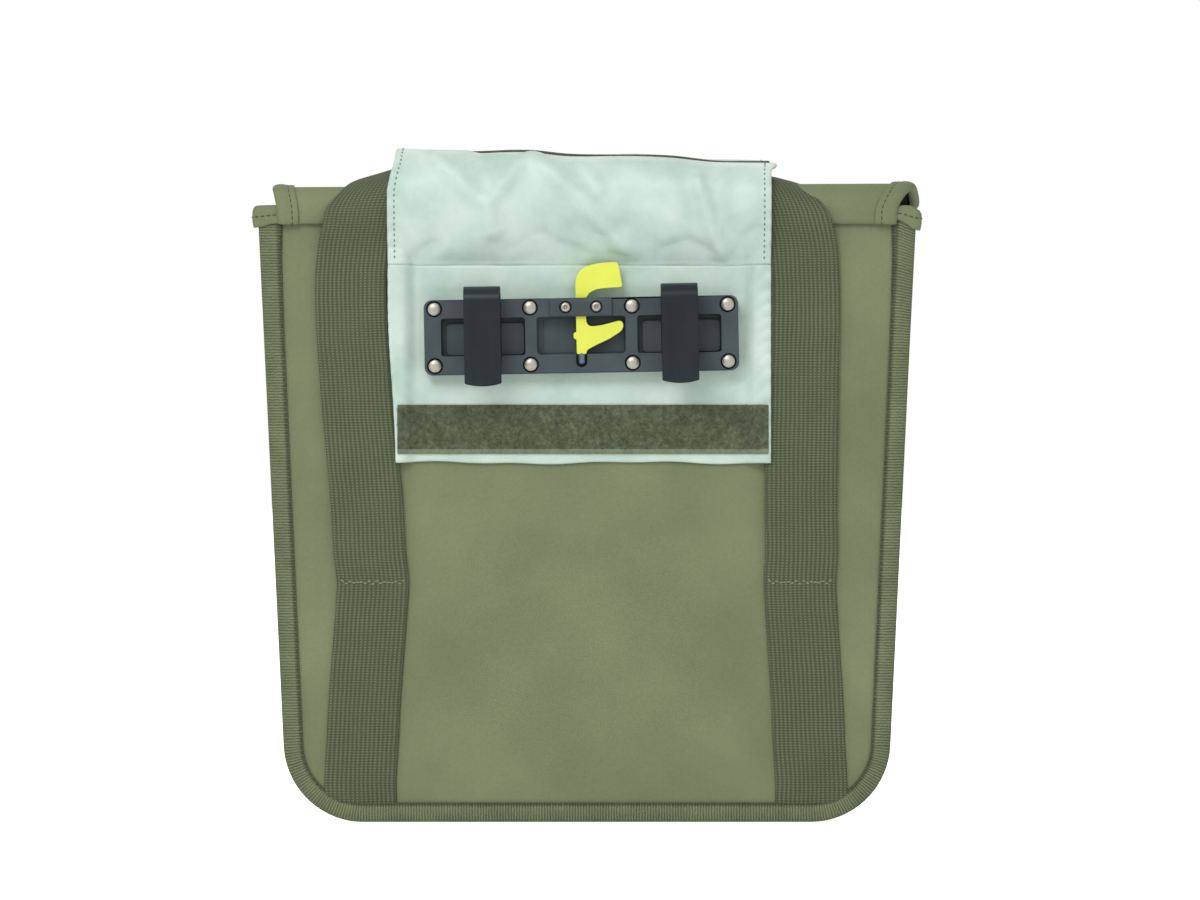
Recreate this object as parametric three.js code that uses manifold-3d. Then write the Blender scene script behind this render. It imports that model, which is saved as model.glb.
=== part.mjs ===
// A shopper-style bicycle pannier, seen from the side that hangs on the rack.
// Millimetres, +Z up. The mounting side faces -Y and the bag stands on its bottom seams.
import * as THREE from "three";
import { mergeVertices } from "three/addons/utils/BufferGeometryUtils.js";
import Module from "manifold-3d";

const wasm = await Module();
wasm.setup();

// The bag's body
const mouthHeight = 353;
const mouthHalfWidth = 189.4;
const bottomHalfWidth = 172.4;
const cornerRadius = 46;
const bagDepth = 130;
const backWall = 3;
const clothWall = 2;
const gussetInset = 10;
const gussetSwell = 10.5;
// Air between two pieces that touch
const gap = 0.3;

// Tape folded over the raw edges: woven on the seams, the bag's own cloth on the mouth and the lid
const tapeWall = 1;
const tapeFace = 11;
const mouthBandHeight = 10;

// The lid: its seam lies below the mouth on the back panel
const lidSeamDrop = 8;
const lidRise = 10.8;
const lidBulge = 2.6;
const lidSetIn = 5.4;
const lidHalfWidth = mouthHalfWidth - lidSetIn;
const lidDrift = 4;
const lidTilt = 1.2;
const lidDrop = 150;

// The handle's webbing
const strapWidth = 40;
const strapWall = 2;
const crownRise = 28.5;
const crownDepth = 30;

// The mint mounting panel and the cover flap hinged along its top
const mintWall = 1.5;
const mintHalfWidth = 109.5;
const mintCentreX = -4.35;
const mintBottom = 207;
const hingeHeight = 320.7;
const flapOut = 12.6;
const flapReach = 46;
const flapAboveCrown = 1.6;
const flapDip = 6.5;
const fuzzyWall = 1.8;
const loopTapeMargin = 5;
const loopTapeBottom = mintBottom + loopTapeMargin;
const loopTapeHeight = 27.5;
const hookTapeWidth = 25;
const hookTapeMargin = 6;

// The hook rail, in its own frame: X along it, Z across it, Y = 0 at its back
const railX = -3.2;
const railHeight = 279.6;
const railTilt = THREE.MathUtils.degToRad(1);
const railLength = 180;
const railWidth = 43;
const railThick = 10;
const railFloor = 2;
const railRadius = 4;
const windowHeight = 21.5;
const middleWindow = 50.7;
const sideWindow = 47.8;
const windowPitch = 56.2;
const rivetRadius = 3.75;
const rivetDome = 1.8;
const rivetOuterX = 84;
const rivetInnerX = 29.2;
const rivetZ = 16.3;

// The rack hooks
const hookWidth = 21;
const hookAbove = 28.5;
const hookBelow = 27;
const hookBackLeg = 3.5;
const hookFrontLeg = 4;
const hookThroat = 13;
const hookRoof = 4.5;
const hookInnerRadius = 5;
const hookShoe = 5;

// The locking lever, its bracket and the screws
const stemRadius = 2.6;
const leverThick = 4.5;
const leverSink = 3;
const leverReach = 24.4;
const leverTop = 41.7;
const leverFoot = 10.8;
const stemSlack = 0.5;
const slotDepth = 7.5;
const bracketWidth = 35.6;
const bracketHeight = 10.2;
const bracketThick = 3;
const screwRadius = 2.7;
const screwX = 8.8;
const screwDome = 1.1;

// The part's box is centred on Y = 0 between the hooks' fronts and the lid's front drop
const mintOut = gap + mintWall;
const railOut = mintOut + gap;
const hookOut = railOut + railThick + gap + hookBackLeg + hookThroat + hookFrontLeg;
const frontClear = 2 * (gap + tapeWall) + gap;
const lidFrontOut = frontClear + clothWall + gap + tapeWall;
const backFaceY = (hookOut - bagDepth - lidFrontOut) / 2;

// Small tools for the shapes

// The value of a named column at a place between the rows of a table.
function tableValue(rows, key, column, at) {
  const last = rows.length - 1;
  const rising = rows[last][key] > rows[0][key];
  const next = rows.findIndex((row) => (rising ? row[key] >= at : row[key] <= at));
  if (next === 0) return rows[0][column];
  if (next < 0) return rows[last][column];
  const low = rows[next - 1];
  const high = rows[next];
  const share = (at - low[key]) / (high[key] - low[key]);
  return THREE.MathUtils.lerp(low[column], high[column], share);
}

// A closed body through rings of points, with its two ends filled by the same triangles.
function skin(rings, cap) {
  const size = rings[0].length;
  const triangles = [];
  for (let ring = 0; ring < rings.length - 1; ring += 1) {
    for (let corner = 0; corner < size; corner += 1) {
      const a = ring * size + corner;
      const b = ring * size + ((corner + 1) % size);
      triangles.push([a, b, b + size], [a, b + size, a + size]);
    }
  }
  const far = (rings.length - 1) * size;
  for (const [a, b, c] of cap) {
    triangles.push([a, c, b], [far + a, far + b, far + c]);
  }
  return outward(rings.flat(), triangles);
}

// The same through rings that follow one flat contour.
function loft(rings, contour) {
  const corners = contour.map(([a, b]) => new THREE.Vector2(a, b));
  const clockwise = THREE.ShapeUtils.area(corners) < 0;
  const cap = THREE.ShapeUtils.triangulateShape(corners, []);
  return skin(rings, cap.map(([a, b, c]) => (clockwise ? [a, c, b] : [a, b, c])));
}

// An indexed geometry whose faces point outwards.
function outward(points, triangles) {
  const side = ([a, b, c]) => {
    const cross = new THREE.Vector3().crossVectors(points[b], points[c]);
    return points[a].dot(cross);
  };
  const volume = triangles.reduce((sum, triangle) => sum + side(triangle), 0);
  const order = triangles.flatMap(([a, b, c]) => (volume < 0 ? [a, c, b] : [a, b, c]));
  const geometry = new THREE.BufferGeometry().setFromPoints(points);
  geometry.setIndex(order);
  return geometry;
}

// A sheet with a wall: rows of points on its near face (side 0) and its far face (side 1).
function sheet(columns, rows, place) {
  const rings = rows.map((row) => [
    ...columns.map((column) => place(column, row, 0)),
    ...[...columns].reverse().map((column) => place(column, row, 1)),
  ]);
  const cap = columns.slice(1).flatMap((column, index) => {
    const far = 2 * columns.length - 1 - index;
    return [
      [index, index + 1, far - 1],
      [index, far - 1, far],
    ];
  });
  return skin(rings, cap);
}

// The outline in X and Z, pushed out towards -Y, or in towards +Y, by its thickness.
function pushOut(shape, thick, curveSegments = 6) {
  const geometry = new THREE.ExtrudeGeometry(shape, { depth: thick, bevelEnabled: false, curveSegments });
  return geometry.rotateX(Math.PI / 2);
}

function pushIn(shape, thick, curveSegments = 6) {
  return pushOut(shape, thick, curveSegments).translate(0, thick, 0);
}

// The outline of "out" and "up", drawn out to both sides of X = 0.
function drawAcross(shape, width, curveSegments = 4) {
  const geometry = new THREE.ExtrudeGeometry(shape, { depth: width, bevelEnabled: false, curveSegments });
  const basis = new THREE.Matrix4().makeBasis(
    new THREE.Vector3(0, -1, 0),
    new THREE.Vector3(0, 0, 1),
    new THREE.Vector3(-1, 0, 0),
  );
  return geometry.applyMatrix4(basis).translate(width / 2, 0, 0);
}

function roundedBox(width, height, radius) {
  const shape = new THREE.Shape();
  const x = width / 2 - radius;
  const y = height / 2 - radius;
  shape.absarc(x, -y, radius, -Math.PI / 2, 0, false);
  shape.absarc(x, y, radius, 0, Math.PI / 2, false);
  shape.absarc(-x, y, radius, Math.PI / 2, Math.PI, false);
  shape.absarc(-x, -y, radius, Math.PI, Math.PI * 1.5, false);
  return shape;
}

function toSolid(geometry) {
  const plain = new THREE.BufferGeometry();
  plain.setAttribute("position", geometry.getAttribute("position"));
  plain.setIndex(geometry.index);
  const merged = mergeVertices(plain, 1e-4);
  return new wasm.Manifold(
    new wasm.Mesh({
      numProp: 3,
      vertProperties: merged.getAttribute("position").array,
      triVerts: new Uint32Array(merged.index.array),
    }),
  );
}

function toGeometry(solid) {
  const { vertProperties, triVerts } = solid.getMesh();
  const geometry = new THREE.BufferGeometry();
  geometry.setAttribute("position", new THREE.BufferAttribute(new Float32Array(vertProperties), 3));
  geometry.setIndex(new THREE.BufferAttribute(new Uint32Array(triVerts), 1));
  return geometry;
}

function cut(geometry, cutters) {
  return toGeometry(cutters.reduce((solid, cutter) => solid.subtract(toSolid(cutter)), toSolid(geometry)));
}

function keepInside(geometry, bounds) {
  return toGeometry(toSolid(geometry).intersect(toSolid(bounds)));
}

function join(geometries) {
  return toGeometry(geometries.map(toSolid).reduce((whole, piece) => whole.add(piece)));
}

// Materials, with the colours of the real cloth, tape and plastic
function finish(color, roughness, metalness = 0) {
  return new THREE.MeshStandardMaterial({ color, roughness, metalness });
}

const materials = {
  canvas: finish(0x7c8364, 0.8),
  tape: finish(0x616a4f, 0.85),
  webbing: finish(0x5f6748, 0.85),
  mint: finish(0xb9cfc3, 0.45),
  fuzz: finish(0x55583f, 0.95),
  rail: finish(0x4a5458, 0.45),
  hook: finish(0x262c2e, 0.4),
  lever: finish(0xe8ef5c, 0.35),
  nickel: finish(0xc9c8c0, 0.25, 1),
};

function piece(name, material, geometry) {
  const mesh = new THREE.Mesh(geometry, materials[material]);
  mesh.name = name;
  return mesh;
}

// The panels' outline: sides that lean out towards the mouth, and rounded bottom corners
const sideLean = Math.atan2(mouthHalfWidth - bottomHalfWidth, mouthHeight);
const cornerX = bottomHalfWidth + cornerRadius * Math.tan(sideLean) - cornerRadius / Math.cos(sideLean);
const cornerSteps = 8;

// The bag's half width at a height, a given distance in from its bound edge.
function halfWidthAt(z, inset) {
  return bottomHalfWidth + z * Math.tan(sideLean) - inset / Math.cos(sideLean);
}

function panelShape(inset, top) {
  const radius = cornerRadius - inset;
  const shape = new THREE.Shape();
  shape.absarc(-cornerX, cornerRadius, radius, Math.PI + sideLean, Math.PI * 1.5, false);
  shape.absarc(cornerX, cornerRadius, radius, -Math.PI / 2, -sideLean, false);
  shape.lineTo(halfWidthAt(top, inset), top);
  shape.lineTo(-halfWidthAt(top, inset), top);
  return shape;
}

// How far the soft sides swell, at shares of the mouth's height
const sideRows = [
  { up: 1, swell: 1 },
  { up: 0.965, swell: 1 },
  { up: 0.915, swell: 0.75 },
  { up: 0.8, swell: 0.5 },
  { up: 0.6, swell: 0.38 },
  { up: 0.38, swell: 0.3 },
  { up: 0.18, swell: 0.2 },
];
const cornerSwell = 0.12;

// Places along the outline, from the mouth down the left side, round the foot and up the right.
function outlineStations() {
  const down = sideRows.map(({ up, swell }) => ({
    swell,
    at: (inset) => [halfWidthAt(up * mouthHeight, inset), up * mouthHeight],
  }));
  for (let step = 0; step <= cornerSteps; step += 1) {
    const angle = -sideLean - ((Math.PI / 2 - sideLean) * step) / cornerSteps;
    down.push({
      swell: cornerSwell * (1 - step / cornerSteps),
      at: (inset) => [
        cornerX + (cornerRadius - inset) * Math.cos(angle),
        cornerRadius + (cornerRadius - inset) * Math.sin(angle),
      ],
    });
  }
  const left = down.map(({ swell, at }) => ({
    swell,
    at: (inset) => {
      const [x, z] = at(inset);
      return [-x, z];
    },
  }));
  return [...left, ...down.reverse()];
}

// A section of "inset" and "y" corners, carried round the outline.
function roundOutline(sectionAt) {
  const stations = outlineStations();
  const rings = stations.map((station) =>
    sectionAt(station.swell).map(([inset, y]) => {
      const [x, z] = station.at(inset);
      return new THREE.Vector3(x, y, z);
    }),
  );
  return loft(rings, sectionAt(stations[0].swell));
}

// Seams: where the gusset's flanges and the tapes lie between the two panels
const edgeInset = gap + tapeWall;
const backFlange = backWall + gap;
const frontPanelY = bagDepth - clothWall;
const frontFlange = frontPanelY - gap;
const bindingLeg = gussetInset - 2;

// How the gusset's wall swells from its back seam to its front seam, in plan
const gussetRows = [
  { along: 0, out: 0 },
  { along: 0.12, out: 0.42 },
  { along: 0.3, out: 0.85 },
  { along: 0.5, out: 1 },
  { along: 0.7, out: 0.85 },
  { along: 0.88, out: 0.42 },
  { along: 1, out: 0 },
];
const wallStart = backFlange + clothWall;
const wallEnd = frontFlange - clothWall;

function gussetWall(swell) {
  return gussetRows.map(({ along, out }) => [
    gussetInset - swell * gussetSwell * out,
    THREE.MathUtils.lerp(wallStart, wallEnd, along),
  ]);
}

// The soft sides and the bottom are one strip, with a flat flange along each seam.
function gusset() {
  return roundOutline((swell) => {
    const outer = gussetWall(swell);
    const inner = outer.map(([inset, y]) => [inset + clothWall, y]).reverse();
    inner[0][1] = frontFlange;
    inner[inner.length - 1][1] = backFlange;
    return [
      [edgeInset, backFlange],
      [edgeInset, wallStart],
      ...outer,
      [edgeInset, wallEnd],
      [edgeInset, frontFlange],
      ...inner,
    ];
  });
}

// Tape folded over a panel's edge and the gusset's flange behind it.
function seamTape(panelFace, flangeFace) {
  const facing = Math.sign(panelFace - flangeFace);
  const face = panelFace + facing * gap;
  const back = flangeFace - facing * gap;
  return roundOutline(() => [
    [0, face + facing * tapeWall],
    [tapeFace, face + facing * tapeWall],
    [tapeFace, face],
    [tapeWall, face],
    [tapeWall, back],
    [bindingLeg, back],
    [bindingLeg, back - facing * tapeWall],
    [0, back - facing * tapeWall],
  ]);
}

// A folded tape's section: "out" from the cloth's outer face, "up" from the cloth's edge.
function hemSection(wall, height) {
  return [
    [gap + tapeWall, gap + tapeWall],
    [gap + tapeWall, -height],
    [gap, -height],
    [gap, gap],
    [-wall - gap, gap],
    [-wall - gap, -height],
    [-wall - gap - tapeWall, -height],
    [-wall - gap - tapeWall, gap + tapeWall],
  ];
}

// Hem tape over the top edge of one soft side, between the two bound seams.
function sideBand(side) {
  const wall = gussetWall(1).map(([inset, y]) => ({ y, inset }));
  const first = wallStart + 2 * gap + tapeWall;
  const last = wallEnd - 2 * gap - tapeWall;
  const between = wall.map(({ y }) => y).filter((y) => y > first && y < last);
  const section = hemSection(clothWall, mouthBandHeight);
  const rings = [first, ...between, last].map((y) =>
    section.map(([out, up]) => {
      const z = mouthHeight + up;
      const inset = tableValue(wall, "y", "inset", y);
      return new THREE.Vector3(side * (halfWidthAt(z, inset) + out), y, z);
    }),
  );
  return loft(rings, section);
}

// Hem tape over the front panel's top edge, between the bound side seams.
function frontBand() {
  const low = mouthHeight - mouthBandHeight;
  const half = halfWidthAt(low, Math.max(tapeFace, gussetInset + clothWall)) - 2 * gap;
  const section = hemSection(clothWall, mouthBandHeight);
  const rings = [-half, half].map((x) =>
    section.map(([out, up]) => new THREE.Vector3(x, bagDepth + out, mouthHeight + up)),
  );
  return loft(rings, section);
}

// The lid's inner face in side view. "back" and "front" count in shares of the bulge out of the
// back panel and of the clearance in front of the front panel, "depth" in shares of the bag's
// depth, "rise" in shares of the rise over the mouth, "seam" and "drop" in shares of the two hangs.
const lidRows = [
  { back: 0, depth: 0, front: 0, rise: 0, seam: 1, drop: 0, half: 0.948, drift: 0 },
  { back: 0.7, depth: 0, front: 0, rise: 0, seam: 0.55, drop: 0, half: 0.948, drift: 0 },
  { back: 1, depth: 0, front: 0, rise: 0, seam: 0.05, drop: 0, half: 0.948, drift: 0 },
  { back: 0.7, depth: 0, front: 0, rise: 0.37, seam: 0, drop: 0, half: 0.963, drift: 0.25 },
  { back: 0, depth: 0.012, front: 0, rise: 0.74, seam: 0, drop: 0, half: 0.978, drift: 0.5 },
  { back: 0, depth: 0.055, front: 0, rise: 0.95, seam: 0, drop: 0, half: 0.99, drift: 0.8 },
  { back: 0, depth: 0.125, front: 0, rise: 1, seam: 0, drop: 0, half: 1, drift: 1 },
  { back: 0, depth: 0.5, front: 0, rise: 0.93, seam: 0, drop: 0, half: 1.004, drift: 1 },
  { back: 0, depth: 0.89, front: 0, rise: 0.8, seam: 0, drop: 0, half: 1.006, drift: 1 },
  { back: 0, depth: 0.985, front: 0, rise: 0.7, seam: 0, drop: 0, half: 1.006, drift: 1 },
  { back: 0, depth: 1, front: 1, rise: 0.32, seam: 0, drop: 0, half: 1.006, drift: 1 },
  { back: 0, depth: 1, front: 1, rise: 0, seam: 0, drop: 0.06, half: 1.006, drift: 1 },
  { back: 0, depth: 1, front: 1, rise: 0, seam: 0, drop: 0.35, half: 1.006, drift: 1 },
  { back: 0, depth: 1, front: 1, rise: 0, seam: 0, drop: 1, half: 1.006, drift: 1 },
];

// The same rows as points, with the distance along the cloth and the way its outer face looks.
function lidProfile() {
  const points = lidRows.map((row) => ({
    y: -gap - (lidBulge - gap) * row.back + bagDepth * row.depth + (frontClear + gap) * row.front,
    z: mouthHeight + lidRise * row.rise - lidSeamDrop * row.seam - lidDrop * row.drop,
    half: lidHalfWidth * row.half,
    drift: lidDrift * row.drift,
    lift: lidTilt * row.drift,
  }));
  points.forEach((point, index) => {
    const before = points[Math.max(index - 1, 0)];
    const after = points[Math.min(index + 1, points.length - 1)];
    const along = new THREE.Vector2(after.y - before.y, after.z - before.z).normalize();
    point.lookY = -along.y;
    point.lookZ = along.x;
    point.length = index ? before.length + Math.hypot(point.y - before.y, point.z - before.z) : 0;
  });
  return points;
}

const lidPoints = lidProfile();
const lidLength = lidPoints[lidPoints.length - 1].length;

// A point of the lid: across it, along it, and above its inner face.
function onLid(across, along, above) {
  const value = (column) => tableValue(lidPoints, "length", column, along);
  return new THREE.Vector3(
    across + value("drift"),
    value("y") + value("lookY") * above,
    value("z") + value("lookZ") * above + value("lift") * (across / lidHalfWidth),
  );
}

function lid() {
  return sheet([-1, 0, 1], lidPoints, (share, { half, length }, side) =>
    onLid(share * half, length, side * clothWall),
  );
}

// Tape folded over both ends of the lid and its free edge, mitred at the corners.
function lidBinding() {
  const section = [
    [-gap - tapeWall, clothWall + gap + tapeWall],
    [tapeFace, clothWall + gap + tapeWall],
    [tapeFace, clothWall + gap],
    [-gap, clothWall + gap],
    [-gap, -gap],
    [tapeFace, -gap],
    [tapeFace, -gap - tapeWall],
    [-gap - tapeWall, -gap - tapeWall],
  ];
  const halfAt = (along) => tableValue(lidPoints, "length", "half", along);
  const down = lidPoints.slice(1, -1).map(({ half, length }) => ({
    at: (inset) => [half - inset, length],
  }));
  down.push({ at: (inset) => [halfAt(lidLength) - inset, lidLength - inset] });
  const left = down.map(({ at }) => ({
    at: (inset) => {
      const [across, along] = at(inset);
      return [-across, along];
    },
  }));
  const rings = [...left, ...down.reverse()].map((station) =>
    section.map(([inset, above]) => {
      const [across, along] = station.at(inset);
      const past = Math.max(along - lidLength, 0);
      const point = onLid(across, along, above);
      point.z -= past;
      return point;
    }),
  );
  return loft(rings, section);
}

// The handle's risers: the webbing's middle, as shares of the mouth's height and half width.
// "over" is 0 where it is sewn to the back panel and 1 where it lies over the mounting panel.
const riserRows = [
  { up: 0.02, left: 0.69, right: 0.68, over: 0 },
  { up: 0.2, left: 0.674, right: 0.668, over: 0 },
  { up: 0.388, left: 0.649, right: 0.647, over: 0 },
  { up: 0.445, left: 0.66, right: 0.65, over: 0.6 },
  { up: 0.53, left: 0.669, right: 0.653, over: 1 },
  { up: 0.7, left: 0.698, right: 0.662, over: 1 },
  { up: 0.85, left: 0.715, right: 0.669, over: 1 },
  { up: 0.93, left: 0.707, right: 0.668, over: 1.25 },
];
// Its two shoulders, each up to the crown. "across" counts in shares of the mouth's half width,
// "rise" in shares of the crown's rise over the mouth, "depth" in shares of the crown's distance
// behind the risers, "swing" in shares of the quarter turn that the webbing's width makes from
// along the panel to front to back, and "lean" is the slope of its inner edge.
const shoulderRows = {
  left: [
    { across: 0.69, rise: -0.28, swing: 0, depth: -0.05, lean: 0 },
    { across: 0.678, rise: 0.035, swing: 0.05, depth: -0.064, lean: 0 },
    { across: 0.655, rise: 0.316, swing: 0.14, depth: -0.03, lean: 0.08 },
    { across: 0.623, rise: 0.58, swing: 0.25, depth: 0.16, lean: 0 },
    { across: 0.581, rise: 0.74, swing: 0.55, depth: 0.44, lean: 0 },
    { across: 0.517, rise: 0.89, swing: 0.72, depth: 0.69, lean: 0 },
    { across: 0.422, rise: 0.98, swing: 0.87, depth: 0.89, lean: 0 },
    { across: 0.29, rise: 1, swing: 0.98, depth: 0.986, lean: 0 },
    { across: 0.13, rise: 0.94, swing: 1, depth: 1, lean: 0 },
  ],
  right: [
    { across: 0.65, rise: -0.28, swing: 0, depth: -0.05, lean: 0 },
    { across: 0.639, rise: 0, swing: 0.02, depth: -0.064, lean: 0 },
    { across: 0.62, rise: 0.28, swing: 0.06, depth: -0.03, lean: 0.08 },
    { across: 0.591, rise: 0.53, swing: 0.17, depth: 0.16, lean: 0 },
    { across: 0.549, rise: 0.62, swing: 0.5, depth: 0.44, lean: 0 },
    { across: 0.491, rise: 0.72, swing: 0.7, depth: 0.69, lean: 0 },
    { across: 0.406, rise: 0.78, swing: 0.87, depth: 0.89, lean: 0 },
    { across: 0.275, rise: 0.87, swing: 0.98, depth: 0.986, lean: 0 },
    { across: 0.13, rise: 0.89, swing: 1, depth: 1, lean: 0 },
  ],
};
const strapSewnY = -gap - strapWall / 2;
const strapOverY = -mintOut - gap - strapWall / 2;
const strapLidY = -lidBulge - clothWall - gap - strapWall / 2;

// The path's middle points from the foot of one riser to the middle of the crown, each with the
// way that its inner edge lies.
function halfHandle(side) {
  const name = side < 0 ? "left" : "right";
  const riser = riserRows.map((row) => ({
    point: new THREE.Vector3(
      side * mouthHalfWidth * row[name],
      THREE.MathUtils.lerp(strapSewnY, strapOverY, row.over),
      mouthHeight * row.up,
    ),
    inwards: new THREE.Vector3(-side, 0, 0),
  }));
  const shoulder = shoulderRows[name].map(({ across, rise, swing, depth, lean }) => {
    const turn = (swing * Math.PI) / 2;
    return {
      point: new THREE.Vector3(
        side * mouthHalfWidth * across,
        strapLidY + (crownDepth - strapLidY) * depth,
        mouthHeight + crownRise * rise,
      ),
      inwards: new THREE.Vector3(-side * Math.cos(turn), -Math.sin(turn), -lean).normalize(),
    };
  });
  return [...riser, ...shoulder];
}

// One loop of webbing: a straight section across it at each point of its path. Both ends follow
// the inner edge of the tape round the panel's foot.
function handle() {
  const path = [...halfHandle(-1), ...halfHandle(1).reverse()];
  const corners = [
    [-1, -1],
    [1, -1],
    [1, 1],
    [-1, 1],
  ];
  const rings = path.map(({ point, inwards }, index) => {
    const before = path[Math.max(index - 1, 0)].point;
    const after = path[Math.min(index + 1, path.length - 1)].point;
    const along = new THREE.Vector3().subVectors(after, before).normalize();
    const face = new THREE.Vector3().crossVectors(inwards, along).normalize();
    return corners.map(([across, out]) =>
      point
        .clone()
        .addScaledVector(inwards, (across * strapWidth) / 2)
        .addScaledVector(face, (out * strapWall) / 2),
    );
  });
  const deep = 2 * bagDepth;
  const bounds = pushIn(panelShape(tapeFace + gap, 2 * mouthHeight), deep, cornerSteps);
  return keepInside(loft(rings, corners), bounds.translate(0, -deep / 2, 0));
}

// The inner edge of a riser at a height: the loop tape ends just clear of it.
function riserInnerEdge(side, z) {
  const middle = tableValue(riserRows, "up", side < 0 ? "left" : "right", z / mouthHeight);
  return side * (mouthHalfWidth * middle - strapWidth / 2);
}

// A flat strip between two edges, standing against the panel.
function strip(left, right, bottom, top, thick) {
  const shape = new THREE.Shape();
  shape.moveTo(left, bottom);
  shape.lineTo(right, bottom);
  shape.lineTo(right, top);
  shape.lineTo(left, top);
  return pushOut(shape, thick);
}

function mountPanel() {
  const left = mintCentreX - mintHalfWidth;
  const right = mintCentreX + mintHalfWidth;
  return strip(left, right, mintBottom, hingeHeight - 2 * gap, mintWall).translate(0, -gap, 0);
}

function loopTape() {
  const heights = [loopTapeBottom, loopTapeBottom + loopTapeHeight];
  const clear = 2 * gap;
  const left = Math.max(...heights.map((z) => riserInnerEdge(-1, z))) + clear;
  const right = Math.min(...heights.map((z) => riserInnerEdge(1, z))) - clear;
  return strip(left, right, ...heights, fuzzyWall).translate(0, -mintOut - gap, 0);
}

// The cover flap's face against the handle, in side view. "out" counts in shares of its stand-off
// from the panel, "back" in shares of its reach behind it, "up" in shares of its height.
const flapRows = [
  { out: 0.03, back: 0, up: 0 },
  { out: 0.06, back: 0, up: 0.025 },
  { out: 0.42, back: 0, up: 0.1 },
  { out: 0.94, back: 0, up: 0.34 },
  { out: 1, back: 0, up: 0.6 },
  { out: 0.92, back: 0, up: 0.76 },
  { out: 0.55, back: 0, up: 0.89 },
  { out: 0, back: 0.04, up: 0.965 },
  { out: 0, back: 0.19, up: 1 },
  { out: 0, back: 0.31, up: 1 },
  { out: 0, back: 0.85, up: 1 },
  { out: 0, back: 1, up: 1 },
];
// The crest dips to the right, where the handle is lower.
const flapColumns = [
  { across: -1, dip: 0 },
  { across: -0.6, dip: 0.15 },
  { across: -0.28, dip: 0.02 },
  { across: -0.02, dip: 0.4 },
  { across: 0.44, dip: 0.48 },
  { across: 0.72, dip: 0.98 },
  { across: 1, dip: 1 },
];
const crestHeight = mouthHeight + crownRise + strapWall / 2 + flapAboveCrown;
const flapProfile = flapRows.map((row) => ({
  y: -flapOut * row.out + flapReach * row.back,
  up: row.up,
}));
flapProfile.forEach((point, index) => {
  const height = crestHeight - hingeHeight;
  const before = flapProfile[Math.max(index - 1, 0)];
  const after = flapProfile[Math.min(index + 1, flapProfile.length - 1)];
  const along = new THREE.Vector2(after.y - before.y, (after.up - before.up) * height).normalize();
  point.lookY = -along.y;
  point.lookZ = along.x;
});

// A point of the flap: across it, at a row of its profile, and above the face on the handle.
function onFlap(column, point, above) {
  const crest = crestHeight - flapDip * column.dip;
  return new THREE.Vector3(
    mintCentreX + mintHalfWidth * column.across,
    point.y + point.lookY * above,
    hingeHeight + (crest - hingeHeight) * point.up + point.lookZ * above,
  );
}

function coverFlap() {
  return sheet(flapColumns, flapProfile, (column, point, side) => onFlap(column, point, side * mintWall));
}

// Hook tape on the turned-back end of the flap, a margin in from its free edge.
function hookTape() {
  const free = flapProfile[flapProfile.length - 1].y;
  const lengths = [free - hookTapeMargin - hookTapeWidth, free - hookTapeMargin];
  const rows = lengths.map((y) => ({ y, up: 1, lookY: 0, lookZ: 1 }));
  return sheet(flapColumns, rows, (column, point, side) =>
    onFlap(column, point, mintWall + gap + side * fuzzyWall),
  );
}

// The hook rail: three recessed windows, a groove behind the bracket and a blind slot below it.
function railWindow(width) {
  return pushOut(roundedBox(width, windowHeight, 1.5), railThick, 2).translate(0, -railFloor, 0);
}

function rail() {
  const plate = pushOut(roundedBox(railLength, railWidth, railRadius), railThick, 4);
  const reach = railWidth / 2 - windowHeight / 2;
  const grooveWidth = 2 * (stemRadius + stemSlack);
  const grooveDepth = leverSink + stemRadius + stemSlack;
  const groove = pushOut(roundedBox(grooveWidth, reach + 4, 0.5), railThick, 1);
  groove.translate(0, grooveDepth - railThick, windowHeight / 2 + reach / 2 + 1);
  const slotHeight = slotDepth + grooveWidth;
  const slot = pushOut(roundedBox(grooveWidth, slotHeight, grooveWidth / 2 - 0.01), railThick, 4);
  slot.translate(0, grooveDepth - railThick, -windowHeight / 2 - slotDepth + slotHeight / 2);
  const windows = [
    railWindow(middleWindow),
    railWindow(sideWindow).translate(-windowPitch, 0, 0),
    railWindow(sideWindow).translate(windowPitch, 0, 0),
  ];
  return cut(plate, [...windows, groove, slot]);
}

// A round head that bulges towards -Y.
function domeHead(radius, rim, height, sides) {
  const profile = [new THREE.Vector2(0, 0), new THREE.Vector2(radius, 0)];
  const steps = 4;
  for (let step = 0; step <= steps; step += 1) {
    const angle = (step / steps) * (Math.PI / 2);
    profile.push(new THREE.Vector2(radius * Math.cos(angle), rim + (height - rim) * Math.sin(angle)));
  }
  profile[profile.length - 1].x = 0;
  return new THREE.LatheGeometry(profile, sides).rotateX(Math.PI);
}

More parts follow.
